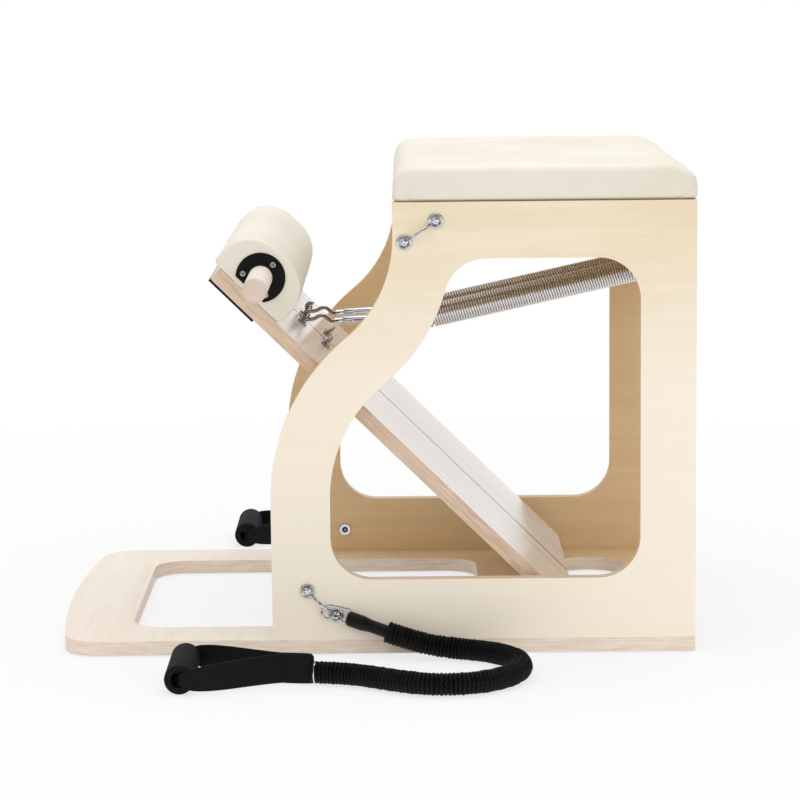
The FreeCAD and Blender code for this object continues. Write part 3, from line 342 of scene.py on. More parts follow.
# Painted light: the panels turn paler towards the floor, as light bounced off the floor makes them.
PANEL_BOUNCE_LIGHT = ((0, 0, -1), -0.54, 4.0, "fff5e4")
# Painted shade: the base turns darker and warmer under the chair, where it lies in shade and takes warm
# light from the panels.
BASE_CHAIR_SHADE = ((1, 0, 0), -0.11, 6.0, "e0bd8a")
PANEL_FACE_TONES = ("edd9b6", "f5e7cb")
PANEL_EDGE_TONES = ("dcc2a2", "ecd8bf", "b08f70")
# Painted shade and warm bounced light on the panels' faces that look into the chair.
PANEL_INNER_SHADE_TONES = ("debd8d", "e8cb9e")
panel_ply = {side: plywood(side + "_maple_panel", (0, 1, 0), (1, 0, 0), PANEL_FACE_TONES, PANEL_EDGE_TONES,
                           inside=((0, -sign, 0), PANEL_INNER_SHADE_TONES), light_fade=PANEL_BOUNCE_LIGHT)
             for side, sign in SIDES.items()}
base_ply = plywood("birch_base", (0, 0, 1), (0, 1, 0), ("ead9c2", "f4e9da"), ("efdac6", "fbeee0", "9c7458"),
                   gloss=0.18, light_fade=BASE_CHAIR_SHADE)
pedal_ply = plywood("birch_pedal", PEDAL_NORMAL, PEDAL_RUN, ("efe7e0", "f8f3ee"),
                    ("d6b89c", "e9d3bd", "986e55"), gloss=0.09, gap_shade=PEDAL_GAP_SHADE)
# Darker tones for the rail and its dowels; on the seat's board and cleats they are painted shade under the
# seat.
rail_and_seat_shade_ply = plywood("maple_rail_and_seat_shade", (1, 0, 0), (0, 1, 0), ("c8ab7c", "d8be92"), ("c2a47c", "d6bc96", "94744f"))
dowel_wood = plywood("beech_dowel", (0, 1, 0), (1, 0, 0), ("d4bfb0", "e2d0c3"),
                     ("e4d8ce", "f2eae3", "d8c8bc"))


def dress(material, *names):
    """Give engineering nodes a finish."""
    for name in names:
        for index in range(len(nodes[name].material_slots)):
            nodes[name].material_slots[index].material = material


for side, material in panel_ply.items():
    dress(material, side + "_side_panel")
dress(base_ply, "base_board")
# The seat's board and cleats take the darker rail tones as painted shade under the seat.
dress(rail_and_seat_shade_ply, "seat_board", "seat_cleats")
dress(pedal_ply, "left_pedal_board", "right_pedal_board", "left_pad_core", "right_pad_core")
dress(rail_and_seat_shade_ply, "spring_rail", "rail_dowels")
dress(dowel_wood, "link_dowel")
print("plywood boards dressed")

# %% [markdown]
# ## Metal, plastic and rubber
#
# The straps and links are bright chrome, the hooks and eyes a darker one whose tint is in part a
# painted dark reflection, the springs satin nickel and the screws zinc. Bare metal is a fully metallic
# shader whose roughness varies a little, as handling leaves it. Plastic and rubber are dark and dull,
# with a fine moulded grain.

# %% Metal, plastic and rubber
BLACK_SHINE = 0.16
ROUGH_SPREAD = 0.16


def metal(name, colour, rough, smear):
    finish = Finish(name, metallic=1.0, base_color=tint(colour))
    marks = finish.noise(finish.place(), 160.0, 4.0)
    return finish.coat("Roughness", marks * smear + (rough - smear / 2)).material


def moulded(name, pale, deep, rough, grain, depth):
    finish = Finish(name).coat("Specular IOR Level", BLACK_SHINE)
    spot = finish.place()
    cells = finish.noise(spot, grain, 3.0)
    finish.coat("Base Color", finish.two_tone(cells, 0.3, 0.7, (deep, pale)))
    finish.coat("Roughness", cells * ROUGH_SPREAD + (rough - ROUGH_SPREAD / 2))
    return finish.bump(cells, depth, 0.6).material


chrome = metal("chrome_wire", "dadadc", 0.1, 0.06)
zinc = metal("zinc_screw", "b8b8b6", 0.3, 0.12)
# The hooks and eyes are a darker chrome; its tint is in part a painted dark reflection of their
# surroundings.
reflection_darkened_chrome = metal("hook_chrome", "9c9895", 0.08, 0.05)
nickel = metal("nickel_spring", "e9e9eb", 0.2, 0.08)
black_plastic = moulded("black_plate", "121213", "0a0a0b", 0.5, 900.0, 0.0002)
boot_rubber = moulded("boot_rubber", "1d1d1f", "121213", 0.3, 500.0, 0.0001)
pad_rubber = moulded("bumper_rubber", "202021", "151516", 0.6, 700.0, 0.0003)
grip_foam = moulded("grip_foam", "1c1c1e", "0e0e0f", 0.78, 1400.0, 0.0006)

dress(chrome, "strap_bolts", "strap_nuts", "cord_links", "tab_rings")
dress(reflection_darkened_chrome, "anchor_eyes", "left_pad_eyes", "right_pad_eyes")
dress(zinc, "hinge_base_leaves", "hinge_pins", "left_hinge_leaf", "right_hinge_leaf", "seat_screws",
      "panel_screws", "frame_screws", "left_pedal_screws", "right_pedal_screws")
dress(black_plastic, "left_pad_end_plate", "right_pad_end_plate", "grip_cores")
dress(pad_rubber, "foot_pads", "left_bumper_strip", "right_bumper_strip")
dress(boot_rubber, "tube_boots")
for side in SIDES:
    dress(chrome, side + "_upper_spring_cap")
    dress(nickel, side + "_upper_spring_tail")
print("metal, plastic and rubber dressed")

# %% [markdown]
# ## Mesh helpers
#
# Everything wound or swept here is a row of rings. One function joins rings into a skin, and one makes
# the object and gives it a finish. Others bend a wire, and cut one closed form out of another.

# %% Mesh helpers
CUT_PAST = 0.01
CUT_EDGE_TURN = 40


def round_turn(count):
    """Angles evenly spaced round a circle."""
    return [2 * math.pi * i / count for i in range(count)]


def skin(rings, closed_ends=True):
    """Vertices and faces of a skin over rings that all have as many points."""
    count = len(rings[0])
    points = [tuple(p) for ring in rings for p in ring]
    faces = []
    for row in range(len(rings) - 1):
        for i in range(count):
            j = (i + 1) % count
            faces.append((row * count + i, row * count + j, (row + 1) * count + j, (row + 1) * count + i))
    if closed_ends:
        faces.append(tuple(reversed(range(count))))
        faces.append(tuple(range((len(rings) - 1) * count, len(rings) * count)))
    return points, faces


def piece(name, points, faces, material, smooth=True):
    """A mesh object with its normals turned outward."""
    mesh = bpy.data.meshes.new(name)
    mesh.from_pydata(points, [], faces)
    work = bmesh.new()
    work.from_mesh(mesh)
    bmesh.ops.recalc_face_normals(work, faces=work.faces)
    work.to_mesh(mesh)
    work.free()
    mesh.materials.append(material)
    mesh.polygons.foreach_set("use_smooth", [smooth] * len(mesh.polygons))
    made = bpy.data.objects.new(name, mesh)
    scene.collection.objects.link(made)
    return made


def joined(name, parts, material):
    """Several skins as one object."""
    points = []
    faces = []
    for more_points, more_faces in parts:
        start = len(points)
        points += more_points
        faces += [tuple(i + start for i in face) for face in more_faces]
    return piece(name, points, faces, material)


def frames_along(line):
    """A side and an upward way at each point of a line that is never upright."""
    line = np.array(line, float)
    ahead = np.gradient(line, axis=0)
    ahead /= np.linalg.norm(ahead, axis=1)[:, None]
    side = np.cross(ahead, (0.0, 0.0, 1.0))
    side /= np.linalg.norm(side, axis=1)[:, None]
    return line, side, np.cross(side, ahead)


def bent_wire(line, radius, place, count=16):
    """A round wire bent in one plane; place turns a distance along, across and out of it into a point."""
    line = np.array(line, float)
    ahead = np.gradient(line, axis=0)
    ahead /= np.linalg.norm(ahead, axis=1)[:, None]
    turns = round_turn(count)
    rings = []
    for (along, out), (run, rise) in zip(line, ahead):
        rings.append([place(along - radius * math.cos(t) * rise, radius * math.sin(t),
                            out + radius * math.cos(t) * run) for t in turns])
    return skin(rings)


def applied(made):
    """Make an object's modifiers part of its mesh."""
    graph = bpy.context.evaluated_depsgraph_get()
    mesh = bpy.data.meshes.new_from_object(made.evaluated_get(graph))
    made.modifiers.clear()
    made.data = mesh
    return made


def hollowed(made, tool):
    """Cut one closed form out of another."""
    cut = made.modifiers.new("hollow", "BOOLEAN")
    cut.operation = "DIFFERENCE"
    cut.solver = "EXACT"
    cut.object = tool
    applied(made)
    made.data.set_sharp_from_angle(angle=math.radians(CUT_EDGE_TURN))
    bpy.data.objects.remove(tool)
    return made


print("a box as a skin has", len(skin([[(0, 0, 0)] * 4] * 2)[1]), "faces")

# %% [markdown]
# ## Resistance tubes
#
# Each tube is an elastic core in a gathered fabric sleeve. It leaves its rubber boot, drops to the
# floor, turns back in one wide curve and ends at the handle's strap. Its line is a smooth spline
# with few control points. The gathers are rings whose crests lean to and fro in a zigzag, as a knitted
# sleeve does when it is pushed together, and no two are quite as high.

# %% Tube routes
ROUTE_STEPS = 72
TUBE_STARTS = {"left": (0.0182, -0.3089, 0.0337), "right": (0.0182, 0.3089, 0.0337)}
TUBE_ROUTES = {
    "left": [(60, -316, 20), (104, -321, 14.3), (149, -341, 14.3), (180, -380, 14.3), (184, -428, 14.3),
             (163, -472, 14.3), (124, -501, 14.3), (76, -507, 14.3), (33, -487, 14.3), (-4, -460, 14.3),
             (-37, -444, 14.3), (-72, -438, 14.3)],
    "right": [(60, 316, 20), (104, 321, 14.3), (147, 344, 14.3), (177, 386, 14.3), (185, 437, 14.3),
              (169, 485, 14.3), (130, 519, 14.3), (82, 533, 14.3), (38, 518, 14.3), (2, 493, 14.3),
              (-38, 474, 14.3)],
}


def spline_points(name, control, steps):
    """Points of a smooth spline with few control points."""
    curve = bpy.data.curves.new(name, "CURVE")
    curve.dimensions = "3D"
    spline = curve.splines.new("NURBS")
    spline.points.add(len(control) - 1)
    for point, place in zip(spline.points, control):
        point.co = (*place, 1.0)
    spline.order_u = 3
    spline.use_endpoint_u = True
    curve.resolution_u = steps
    holder = bpy.data.objects.new(name, curve)
    scene.collection.objects.link(holder)
    line = bpy.data.meshes.new_from_object(holder)
    found = [tuple(v.co) for v in line.vertices]
    bpy.data.objects.remove(holder)
    bpy.data.meshes.remove(line)
    return found


def tube_line(side):
    control = [TUBE_STARTS[side]] + [tuple(v / 1000 for v in p) for p in TUBE_ROUTES[side]]
    return spline_points(side + "_route", control, ROUTE_STEPS)


print("control points of the tubes", {side: len(route) + 1 for side, route in TUBE_ROUTES.items()})

# %% Sleeve
SLEEVE_CREST = 0.0141
SLEEVE_VALLEY = 0.0092
RIB_PITCH = 0.0050
ZIGZAG_TEETH = 12
ZIGZAG_REACH = 0.2
SLEEVE_SIDES = 4 * ZIGZAG_TEETH
LEAST_RIB = 0.86
RIB_FULLNESS = 0.9
FABRIC_SHINE = 0.2


def zigzag(angle):
    """How far a rib's line leans at a place round the sleeve, in shares of a rib."""
    tooth = (angle / (2 * math.pi) * ZIGZAG_TEETH) % 1.0
    return ZIGZAG_REACH * (abs(tooth - 0.5) * 4 - 1)


def sleeve_fabric():
    """Black knitted nylon: a tiny weave over the gathers."""
    finish = Finish("sleeve_fabric").coat("Specular IOR Level", FABRIC_SHINE)
    spot = finish.place()
    fuzz = finish.noise(spot, 1500.0, 3.0)
    folds = finish.noise(spot, 220.0, 3.0)
    finish.coat("Base Color", finish.two_tone(fuzz * 0.5 + folds * 0.5, 0.35, 0.7, ("060607", "161618")))
    finish.coat("Roughness", 0.34 + fuzz * 0.2)
    return finish.bump(fuzz * 0.5 + folds * 0.5, 0.0008, 0.7).material


def gathered_sleeve(side, material, seed):
    """A skin of rings along a tube's line, gathered into ribs."""
    line, across, up = frames_along(tube_line(side))
    walked = np.concatenate([[0.0], np.cumsum(np.linalg.norm(np.diff(line, axis=0), axis=1))])
    draw = random.Random(seed)
    ribs = int(walked[-1] / RIB_PITCH) + 2
    heights = [draw.uniform(LEAST_RIB, 1.0) for _ in range(ribs)]
    rings = []
    for point, side_way, up_way, distance in zip(line, across, up, walked):
        ring = []
        for angle in round_turn(SLEEVE_SIDES):
            phase = max(distance / RIB_PITCH + zigzag(angle), 0.0)
            swell = math.sin(math.pi * (phase % 1.0)) ** RIB_FULLNESS
            radius = SLEEVE_VALLEY + (SLEEVE_CREST - SLEEVE_VALLEY) * swell * heights[int(phase)]
            ring.append(point + radius * (math.cos(angle) * side_way + math.sin(angle) * up_way))
        rings.append(ring)
    made = piece(side + "_gathered_sleeve", *skin(rings), material)
    return made, [tuple(p) for p in line], float(walked[-1])


knit = sleeve_fabric()
sleeves = {}
for side, seed in (("left", 11), ("right", 23)):
    sleeves[side] = gathered_sleeve(side, knit, seed)
    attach(sleeves[side][0], "frame")
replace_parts(sleeves["left"][0], "left_tube_sleeve", "elastic_tubes")
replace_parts(sleeves["right"][0], "right_tube_sleeve")
print("sleeve lengths", {side: round(made[2], 4) for side, made in sleeves.items()})

# %% [markdown]
# ## Handles
#
# A handle is a foam grip on a hollow core, with one length of webbing that runs through it. The two
# ends of the webbing are sewn together at the tube. The band stands on its edge on the floor. It is
# made directly as a swept flat section, because a remesh would wipe out something this thin.

# %% Webbing
WEB_WIDTH = 0.036
WEB_THICKNESS = 0.0028
WEB_MIDDLE = 0.0188
WEB_NARROW = 0.014
WEB_PLY_OFF = 0.56
ROW_PITCH = 0.0016
TWILL_PITCH = 0.0018
TWILL_WAY = (0.8, 0.6, 0.0)
TAB_LENGTH = 0.041
TAB_FIRST = 0.02
GRIP_LENGTH = 0.122
GRIP_RADIUS = 0.018
GRIP_MIDDLE = 0.0183
GRIP_END_GAP = 0.0022
GRIP_BACK_GAP = 0.004
SHOULDER_SHARE = 0.9
BORE_SHARE = 0.8
GRIP_CENTRES = {"left": (-0.228, -0.429), "right": (-0.194, 0.465)}


def webbing_weave():
    """Tight ribs across a black band, and its twill on the flat."""
    finish = Finish("black_webbing").coat("Specular IOR Level", FABRIC_SHINE)
    spot = finish.place()
    rows = (finish.dot(spot, (0.0, 0.0, 1.0)) * (2 * math.pi / ROW_PITCH)).wave()
    columns = (finish.dot(spot, TWILL_WAY) * (2 * math.pi / TWILL_PITCH)).wave()
    weave = rows * columns * 0.5 + 0.5
    dust = finish.noise(spot, 120.0, 3.0)
    finish.coat("Base Color", finish.two_tone(weave * 0.6 + dust * 0.4, 0.2, 0.8, ("08080a", "18181a")))
    finish.coat("Roughness", 0.62 + dust * 0.2)
    return finish.bump(weave, 0.0004, 0.8).material


def eased(points, rounds=3):
    """Corners of a band's line cut back again and again until they are round."""
    points = [np.array(p, float) for p in points]
    for _ in range(rounds):
        cut = [points[0]]
        for a, b in zip(points, points[1:]):
            cut += [0.75 * a + 0.25 * b, 0.25 * a + 0.75 * b]
        points = cut + [points[-1]]
    return points


def band(stations, thickness):
    """A flat band on edge: each station has a place on the floor and a width."""
    stations = np.array(stations, float)
    ahead = np.gradient(stations[:, :2], axis=0)
    ahead /= np.linalg.norm(ahead, axis=1)[:, None]
    half = thickness / 2
    rings = []
    for (x, y, width), (ax, ay) in zip(stations, ahead):
        section = [(half, width / 2 - half), (half * 0.6, width / 2), (-half * 0.6, width / 2),
                   (-half, width / 2 - half), (-half, half - width / 2), (-half * 0.6, -width / 2),
                   (half * 0.6, -width / 2), (half, half - width / 2)]
        rings.append([(x + ay * off, y - ax * off, WEB_MIDDLE + rise) for off, rise in section])
    return skin(rings)


def handle_line(side):
    """Where a handle's band goes, with its width, from the tab round the grip and back."""
    start = np.array(TUBE_ROUTES[side][-1][:2]) / 1000
    before = np.array(TUBE_ROUTES[side][-2][:2]) / 1000
    way = (start - before) / np.linalg.norm(start - before)
    off = np.array((-way[1], way[0])) * WEB_THICKNESS * WEB_PLY_OFF
    end = start + way * TAB_LENGTH
    grip = np.array(GRIP_CENTRES[side])
    reach = GRIP_LENGTH / 2 + GRIP_END_GAP
    lean = 1 if np.dot(off, (0, 1)) > 0 else -1
    far = np.array((0.0, reach)) * lean
    shoulder = np.array((GRIP_RADIUS + GRIP_BACK_GAP, 0.0))

    def leg(turn):
        """One leg's stops, from the tab into the grip."""
        on_tab = [(spot + turn * off, WEB_WIDTH) for spot in (start, start + way * TAB_FIRST, end)]
        bend = (grip + shoulder + turn * far, WEB_WIDTH * SHOULDER_SHARE)
        return on_tab + [bend] + [(grip + turn * far * share, WEB_NARROW) for share in (1.0, BORE_SHARE)]

    stops = leg(1) + [(grip, WEB_NARROW)] + leg(-1)[::-1]
    return eased([(*place, width) for place, width in stops]), start, way


weave = webbing_weave()
print("stations of a handle's band", len(handle_line("left")[0]))

# %% Grips and tabs
GRIP_SOFT = 0.0035
GRIP_BORE = 0.0121
TAB_SIDES = 24
TAB_SQUARENESS = 6
TAB_STOPS = ((-0.003, 0.0056, 0.030), (0.0, 0.0082, 0.0355), (0.006, 0.0086, 0.037),
             (0.0075, 0.0072, 0.0368), (0.009, 0.0086, 0.037), (0.031, 0.0086, 0.037),
             (0.0325, 0.0072, 0.0368), (0.034, 0.0084, 0.037), (TAB_LENGTH, 0.0070, 0.0366))


def turned_skin(centre, profile, sides=56):
    """A closed form turned about a line along Y."""
    rings = []
    for along, radius in profile:
        rings.append([(centre[0] + radius * math.cos(t), centre[1] + along, centre[2] + radius * math.sin(t))
                      for t in round_turn(sides)])
    return skin(rings + rings[:1], closed_ends=False)


def grip_profile():
    """A foam sleeve's half section: rounded outer ends and an open bore."""
    half = GRIP_LENGTH / 2
    soft = GRIP_SOFT
    turn = [math.radians(a) for a in range(0, 91, 15)]
    back = [(-half + soft - soft * math.cos(a), GRIP_RADIUS - soft + soft * math.sin(a)) for a in turn]
    ahead = [(-along, radius) for along, radius in reversed(back)]
    return [(-half, GRIP_BORE)] + back + ahead + [(half, GRIP_BORE)]


def sewn_tab(start, way):
    """The cover sewn over both ends of a band: a flat sleeve with a stitched dip near each end."""
    out = np.array((-way[1], way[0], 0.0))
    rings = []
    for along, thick, tall in TAB_STOPS:
        middle = np.array((*(start + way * along), WEB_MIDDLE))
        ring = []
        for angle in round_turn(TAB_SIDES):
            side, rise = math.cos(angle), math.sin(angle)
            swell = (abs(side) ** TAB_SQUARENESS + abs(rise) ** TAB_SQUARENESS) ** (-1 / TAB_SQUARENESS)
            upward = np.array((0, 0, rise * swell * tall / 2))
            ring.append(middle + out * (side * swell * thick / 2) + upward)
        rings.append(ring)
    return skin(rings)


handle_pieces = {}
for side in SIDES:
    stations, tab_start, tab_way = handle_line(side)
    strap = piece(side + "_handle_webbing", *band(stations, WEB_THICKNESS), weave)
    grip_at = (*GRIP_CENTRES[side], GRIP_MIDDLE)
    grip = piece(side + "_foam_grip", *turned_skin(grip_at, grip_profile()), grip_foam)
    tab = piece(side + "_sewn_tab", *sewn_tab(tab_start, tab_way), weave)
    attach(strap, "frame")
    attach(tab, "frame")
    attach(grip, "frame")
    handle_pieces[side] = [strap, grip, tab]
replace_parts(handle_pieces["left"][0], "handle_straps")
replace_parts(handle_pieces["left"][1], "handle_grips")

print("handles", [p.name for group in handle_pieces.values() for p in group])

# %% [markdown]
# ## Springs
#
# The real springs are wound close, coil on coil. A helix of many turns shows that.

# %% Springs
PIN = (0.243, 0.027)
EYE_ON_PEDAL = (-0.494, 0.0375)
ANCHOR = (0.3745, 0.463)
SPRING_Y = 0.045
KNEE_REACH = 0.161
KNEE_SAG = 0.024
COIL_FRONT = 0.0011
COIL_BACK_GAP = 0.0242
COIL_RADIUS = 0.0143
COIL_WIRE = 0.0017
COIL_PITCH = 0.00346
TURN_POINTS = 28
WIRE_SIDES = 8
COIL_HELD_BACK = 0.014
COIL_HELD_FRONT = 0.03


def on_pedal(x, y, z):
    """A point given along, across and above a pedal, with the hinge pin as its zero."""
    turn, rise = math.cos(PEDAL_ANGLE), math.sin(PEDAL_ANGLE)
    return Vector((PIN[0] + x * turn + z * rise, y, PIN[1] - x * rise + z * turn))


def coil_axis(sign):
    """A coil's front knee, its direction, its upward way and its reach. It hangs below the straight line."""
    eye = on_pedal(EYE_ON_PEDAL[0], sign * SPRING_Y, EYE_ON_PEDAL[1])
    anchor = Vector((ANCHOR[0], sign * SPRING_Y, ANCHOR[1]))
    ahead = (anchor - eye).normalized()
    knee = eye + ahead * KNEE_REACH + Vector((ahead.z, 0, -ahead.x)) * KNEE_SAG
    way = (anchor - knee).normalized()
    return knee, way, Vector((-way.z, 0, way.x)), (anchor - knee).length


def coil_skin(start, way, up, front, back):
    """A wire wound close about an axis."""
    across = way.cross(up)
    turns = (back - front) / COIL_PITCH
    count = int(turns * TURN_POINTS)
    rings = []
    for i in range(count + 1):
        share = i / count
        angle = 2 * math.pi * turns * share
        outward = up * math.cos(angle) + across * math.sin(angle)
        centre = start + way * (front + (back - front) * share) + outward * COIL_RADIUS
        rings.append([centre + COIL_WIRE * (outward * math.cos(t) + way * math.sin(t))
                      for t in round_turn(WIRE_SIDES)])
    return skin(rings)


for side, sign in SIDES.items():
    stem = side + "_upper_spring"
    start, way, up, length = coil_axis(sign)
    back = length - COIL_BACK_GAP
    coil = piece(stem + "_winding", *coil_skin(start, way, up, COIL_FRONT, back), nickel)
    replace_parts(coil, stem + "_coil")
    stem + "_tail"
    stem + "_cap"
    start + way * (back - COIL_HELD_BACK)
    start + way * (COIL_FRONT + COIL_HELD_FRONT)
    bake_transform(coil)
    print(coil.name, "turns", round((back - COIL_FRONT) / COIL_PITCH, 1))

# %% [markdown]
# ## Spring hooks
#
# Each hook is one thick wire: a curl over the pedal's eye, an easy hump, and a shank pressed into a
# collar and a barrel with two cross holes. The engineering model bends it at sharp corners. Here the
# corners of its line are cut back until they are round, and the holes are cut through a turned barrel.

# %% Spring hooks
HOOK_OFFSET = 0.010
HOOK_WIRE = 0.0025
HOOK_CURL = 0.0056
HOOK_RUN = ((0.0066, -0.0056), (0.0145, -0.0015), (0.0205, -0.0015), (0.0285, -0.010), (0.044, -0.010))
BARREL = ((33.0, 3.4), (33.7, 4.2), (43.4, 4.2), (44.0, 3.8), (44.2, 4.4), (46.0, 5.3), (118.0, 5.3),
          (120.0, 4.2), (120.2, 2.4), (190.0, 2.4))
CROSS_HOLES = (0.058, 0.079)
CROSS_HOLE_RADIUS = 0.0017


def on_rod(sign):
    """Turns a distance along, across and above a hook's rod, with the eye's wire as zero, into a point."""
    eye = on_pedal(EYE_ON_PEDAL[0], sign * SPRING_Y, EYE_ON_PEDAL[1])
    span = coil_axis(sign)[0] - eye
    lean = math.atan2(span.z, span.x) + math.asin(HOOK_OFFSET / span.length)
    way = Vector((math.cos(lean), 0.0, math.sin(lean)))
    up = Vector((-math.sin(lean), 0.0, math.cos(lean)))
    return lambda along, across, out: eye + way * along + Vector((0.0, across, 0.0)) + up * out


def hook_line():
    """The curl from its tip round the eye, and the eased run to the barrel."""
    curl = [(HOOK_CURL * math.cos(a), HOOK_CURL * math.sin(a)) for a in np.radians(range(50, 261, 15))]
    return curl + [tuple(p) for p in eased([(0.0, -HOOK_CURL), *HOOK_RUN], 3)]


def drilled_barrel(name, place, count=40):
    """A turned barrel with its cross holes."""
    turns = round_turn(count)
    rings = [[place(along / 1000, radius / 1000 * math.sin(t), radius / 1000 * math.cos(t) - HOOK_OFFSET)
              for t in turns] for along, radius in BARREL]
    barrel = piece(name, *skin(rings), chrome)
    drills = []
    for along in CROSS_HOLES:
        drills.append(skin([[place(along + CROSS_HOLE_RADIUS * math.cos(t), end,
                                   CROSS_HOLE_RADIUS * math.sin(t) - HOOK_OFFSET) for t in turns]
                            for end in (-CUT_PAST, CUT_PAST)]))
    return hollowed(barrel, joined(name + "_drills", drills, chrome))


for side, sign in SIDES.items():
    stem = side + "_upper_spring"
    place = on_rod(sign)
    wire = piece(stem + "_hook_wire", *bent_wire(hook_line(), HOOK_WIRE, place), reflection_darkened_chrome)
    barrel = drilled_barrel(stem + "_barrel", place)
    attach(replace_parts(wire, stem + "_hook"), stem + "_hook")
    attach(barrel, stem + "_hook")
    print(wire.name, len(wire.data.vertices), barrel.name, len(barrel.data.vertices), "points")

# %% [markdown]
# ## Eye straps
#
# A strap is bent from one wire: a flattened eye at each end goes under a bolt, and the bow between
# them takes a link. The engineering model has plain discs for the eyes. Here each is turned as a ring
# with a rounded rim and a dish under the bolt's head, because only a curved rim shows a dark and a
# bright edge as chrome does.

# %% Eye straps
STRAPS = {"upper": (0.064, 0.532, 34.0), "lower": (-0.063, 0.067, -41.0)}
STRAP_HALF_SPAN = 0.0235
STRAP_RISE = 0.013
STRAP_WIRE = 0.0019
STRAP_FOOT = (0.0079, 0.0014)
STRAP_KNEE_SHARE = 0.45
PANEL_FACE = 0.290
EYELET_RIM = ((3.0, 0.0), (9.3, 0.0), (9.7, 0.7), (9.6, 1.7), (9.0, 2.7), (8.2, 3.1), (7.4, 2.9), (6.8, 2.3),
              (6.2, 2.0), (3.0, 2.0))


def on_panel(strap, sign, along, across, out):
    """A point given along and across a strap and out of its panel's face."""
    x, z, lean = STRAPS[strap]
    turn = math.radians(lean)
    return Vector((x + along * math.cos(turn) - across * math.sin(turn), sign * (PANEL_FACE + out),
                   z + along * math.sin(turn) + across * math.cos(turn)))


def eyelet(strap, sign, along, count=48):
    """A ring turned about a bolt, with a rounded rim and a dish."""
    rings = []
    for radius, out in EYELET_RIM:
        radius, out = radius / 1000, out / 1000
        rings.append([on_panel(strap, sign, along + radius * math.cos(t), radius * math.sin(t), out)
                      for t in round_turn(count)])
    return skin(rings + rings[:1], closed_ends=False)


def strap_bow(strap, sign):
    """The bowed wire between two eyelets."""
    foot = STRAP_HALF_SPAN - STRAP_FOOT[0]
    knee = STRAP_RISE * STRAP_KNEE_SHARE
    stops = [(-foot, STRAP_FOOT[1]), (-knee, STRAP_RISE), (knee, STRAP_RISE), (foot, STRAP_FOOT[1])]
    return bent_wire(eased(stops, 4), STRAP_WIRE, lambda *spot: on_panel(strap, sign, *spot))


for side, sign in SIDES.items():
    shapes = [strap_bow(strap, sign) for strap in STRAPS]
    shapes += [eyelet(strap, sign, end * STRAP_HALF_SPAN) for strap in STRAPS for end in (-1, 1)]
    straps = joined(side + "_eye_straps", shapes, chrome)
    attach(straps, "frame")
    if side == "left":
        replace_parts(straps, "eye_straps")
    print(straps.name, len(straps.data.vertices), "points")

# %% [markdown]
# ## Screw heads
#
# The end plates and the eye straps are held by bolts with a hexagonal socket. The engineering model
# has plain heads there. A low collar with a dark six-sided recess on top of each gives the socket.
# On the panels' inner faces the straps' nuts get the dark ring of a lock nut and the bolt's end in it.

# %% Screw heads
PLATE_SCREW_CIRCLE = 0.0225
PLATE_FACE = 0.251
DOWEL_ON_PEDAL = (-0.582, 0.052)
BOLT_TOP = 0.0058
NUT_TOP = -0.021
PLATE_HEAD = (0.0038, 0.0016, 0.0017)
BOLT_SOCKET = (0.0034, 0.0008, 0.0019)
NUT_RING = (0.0042, 0.0006, 0.0008)
BOLT_END = (0.0021, 0.0012, 0.0009)


def hexagon(angle):
    """How far a hexagon's edge is from its middle, at an angle, for a radius of one."""
    return math.cos(math.pi / 6) / math.cos(angle % (math.pi / 3) - math.pi / 6)


def socket_head(centre, sign, radius, rise, socket, count=36):
    """A head on a face across Y, from its radius, rise and socket: an eased rim and a six-sided recess."""
    stops = ((radius, 0.0, 0), (radius, 0.65 * rise, 0), (0.9 * radius, rise, 0), (socket * 1.15, rise, 0),
             (socket, 0.9 * rise, 1), (socket, 0.05 * rise, 1))
    rings = []
    for size, off, cornered in stops:
        ring = []
        for angle in round_turn(count):
            reach = size * (hexagon(angle) if cornered else 1.0)
            ring.append((centre[0] + reach * math.cos(angle), centre[1] + sign * off,
                         centre[2] + reach * math.sin(angle)))
        rings.append(ring)
    return skin(rings)


def plate_screws(sign):
    """Where the three screws of an end plate are."""
    for angle in (90, 210, 330):
        turn = math.radians(angle)
        x = DOWEL_ON_PEDAL[0] + PLATE_SCREW_CIRCLE * math.cos(turn)
        z = DOWEL_ON_PEDAL[1] + PLATE_SCREW_CIRCLE * math.sin(turn)
        yield on_pedal(x, sign * PLATE_FACE, z)


def strap_bolts(sign, out):
    """Where the bolts of a panel's eye straps are, at a height out of the panel's face."""
    for strap in STRAPS:
        for end in (-1, 1):
            yield on_panel(strap, sign, end * STRAP_HALF_SPAN, 0.0, out)


for side, sign in SIDES.items():
    plate_heads = [socket_head(spot, sign, *PLATE_HEAD) for spot in plate_screws(sign)]
    heads = joined(side + "_plate_screw_heads", plate_heads, zinc)
    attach(heads, side + "_pedal")
    bolt_heads = [socket_head(spot, sign, *BOLT_SOCKET) for spot in strap_bolts(sign, BOLT_TOP)]
    sockets = joined(side + "_strap_bolt_sockets", bolt_heads, chrome)
    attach(sockets, "frame")
    nut_rings = [socket_head(spot, -sign, *NUT_RING) for spot in strap_bolts(sign, NUT_TOP)]
    bolt_ends = [socket_head(spot, -sign, *BOLT_END) for spot in strap_bolts(sign, NUT_TOP)]
    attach(joined(side + "_nut_rings", nut_rings, black_plastic), "frame")
    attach(joined(side + "_bolt_ends", bolt_ends, zinc), "frame")
print("screw heads", 2 * (len(plate_heads) + len(bolt_heads)))

# %% [markdown]
# ## Upholstery
#
# The seat and the two foot pads are foam under cream vinyl. Each starts as a plain form a little
# smaller than the real one. A cloth simulation blows it up from inside, which tightens the sides and
# rounds the edges as stretched vinyl does, and a limit keeps it near its place.

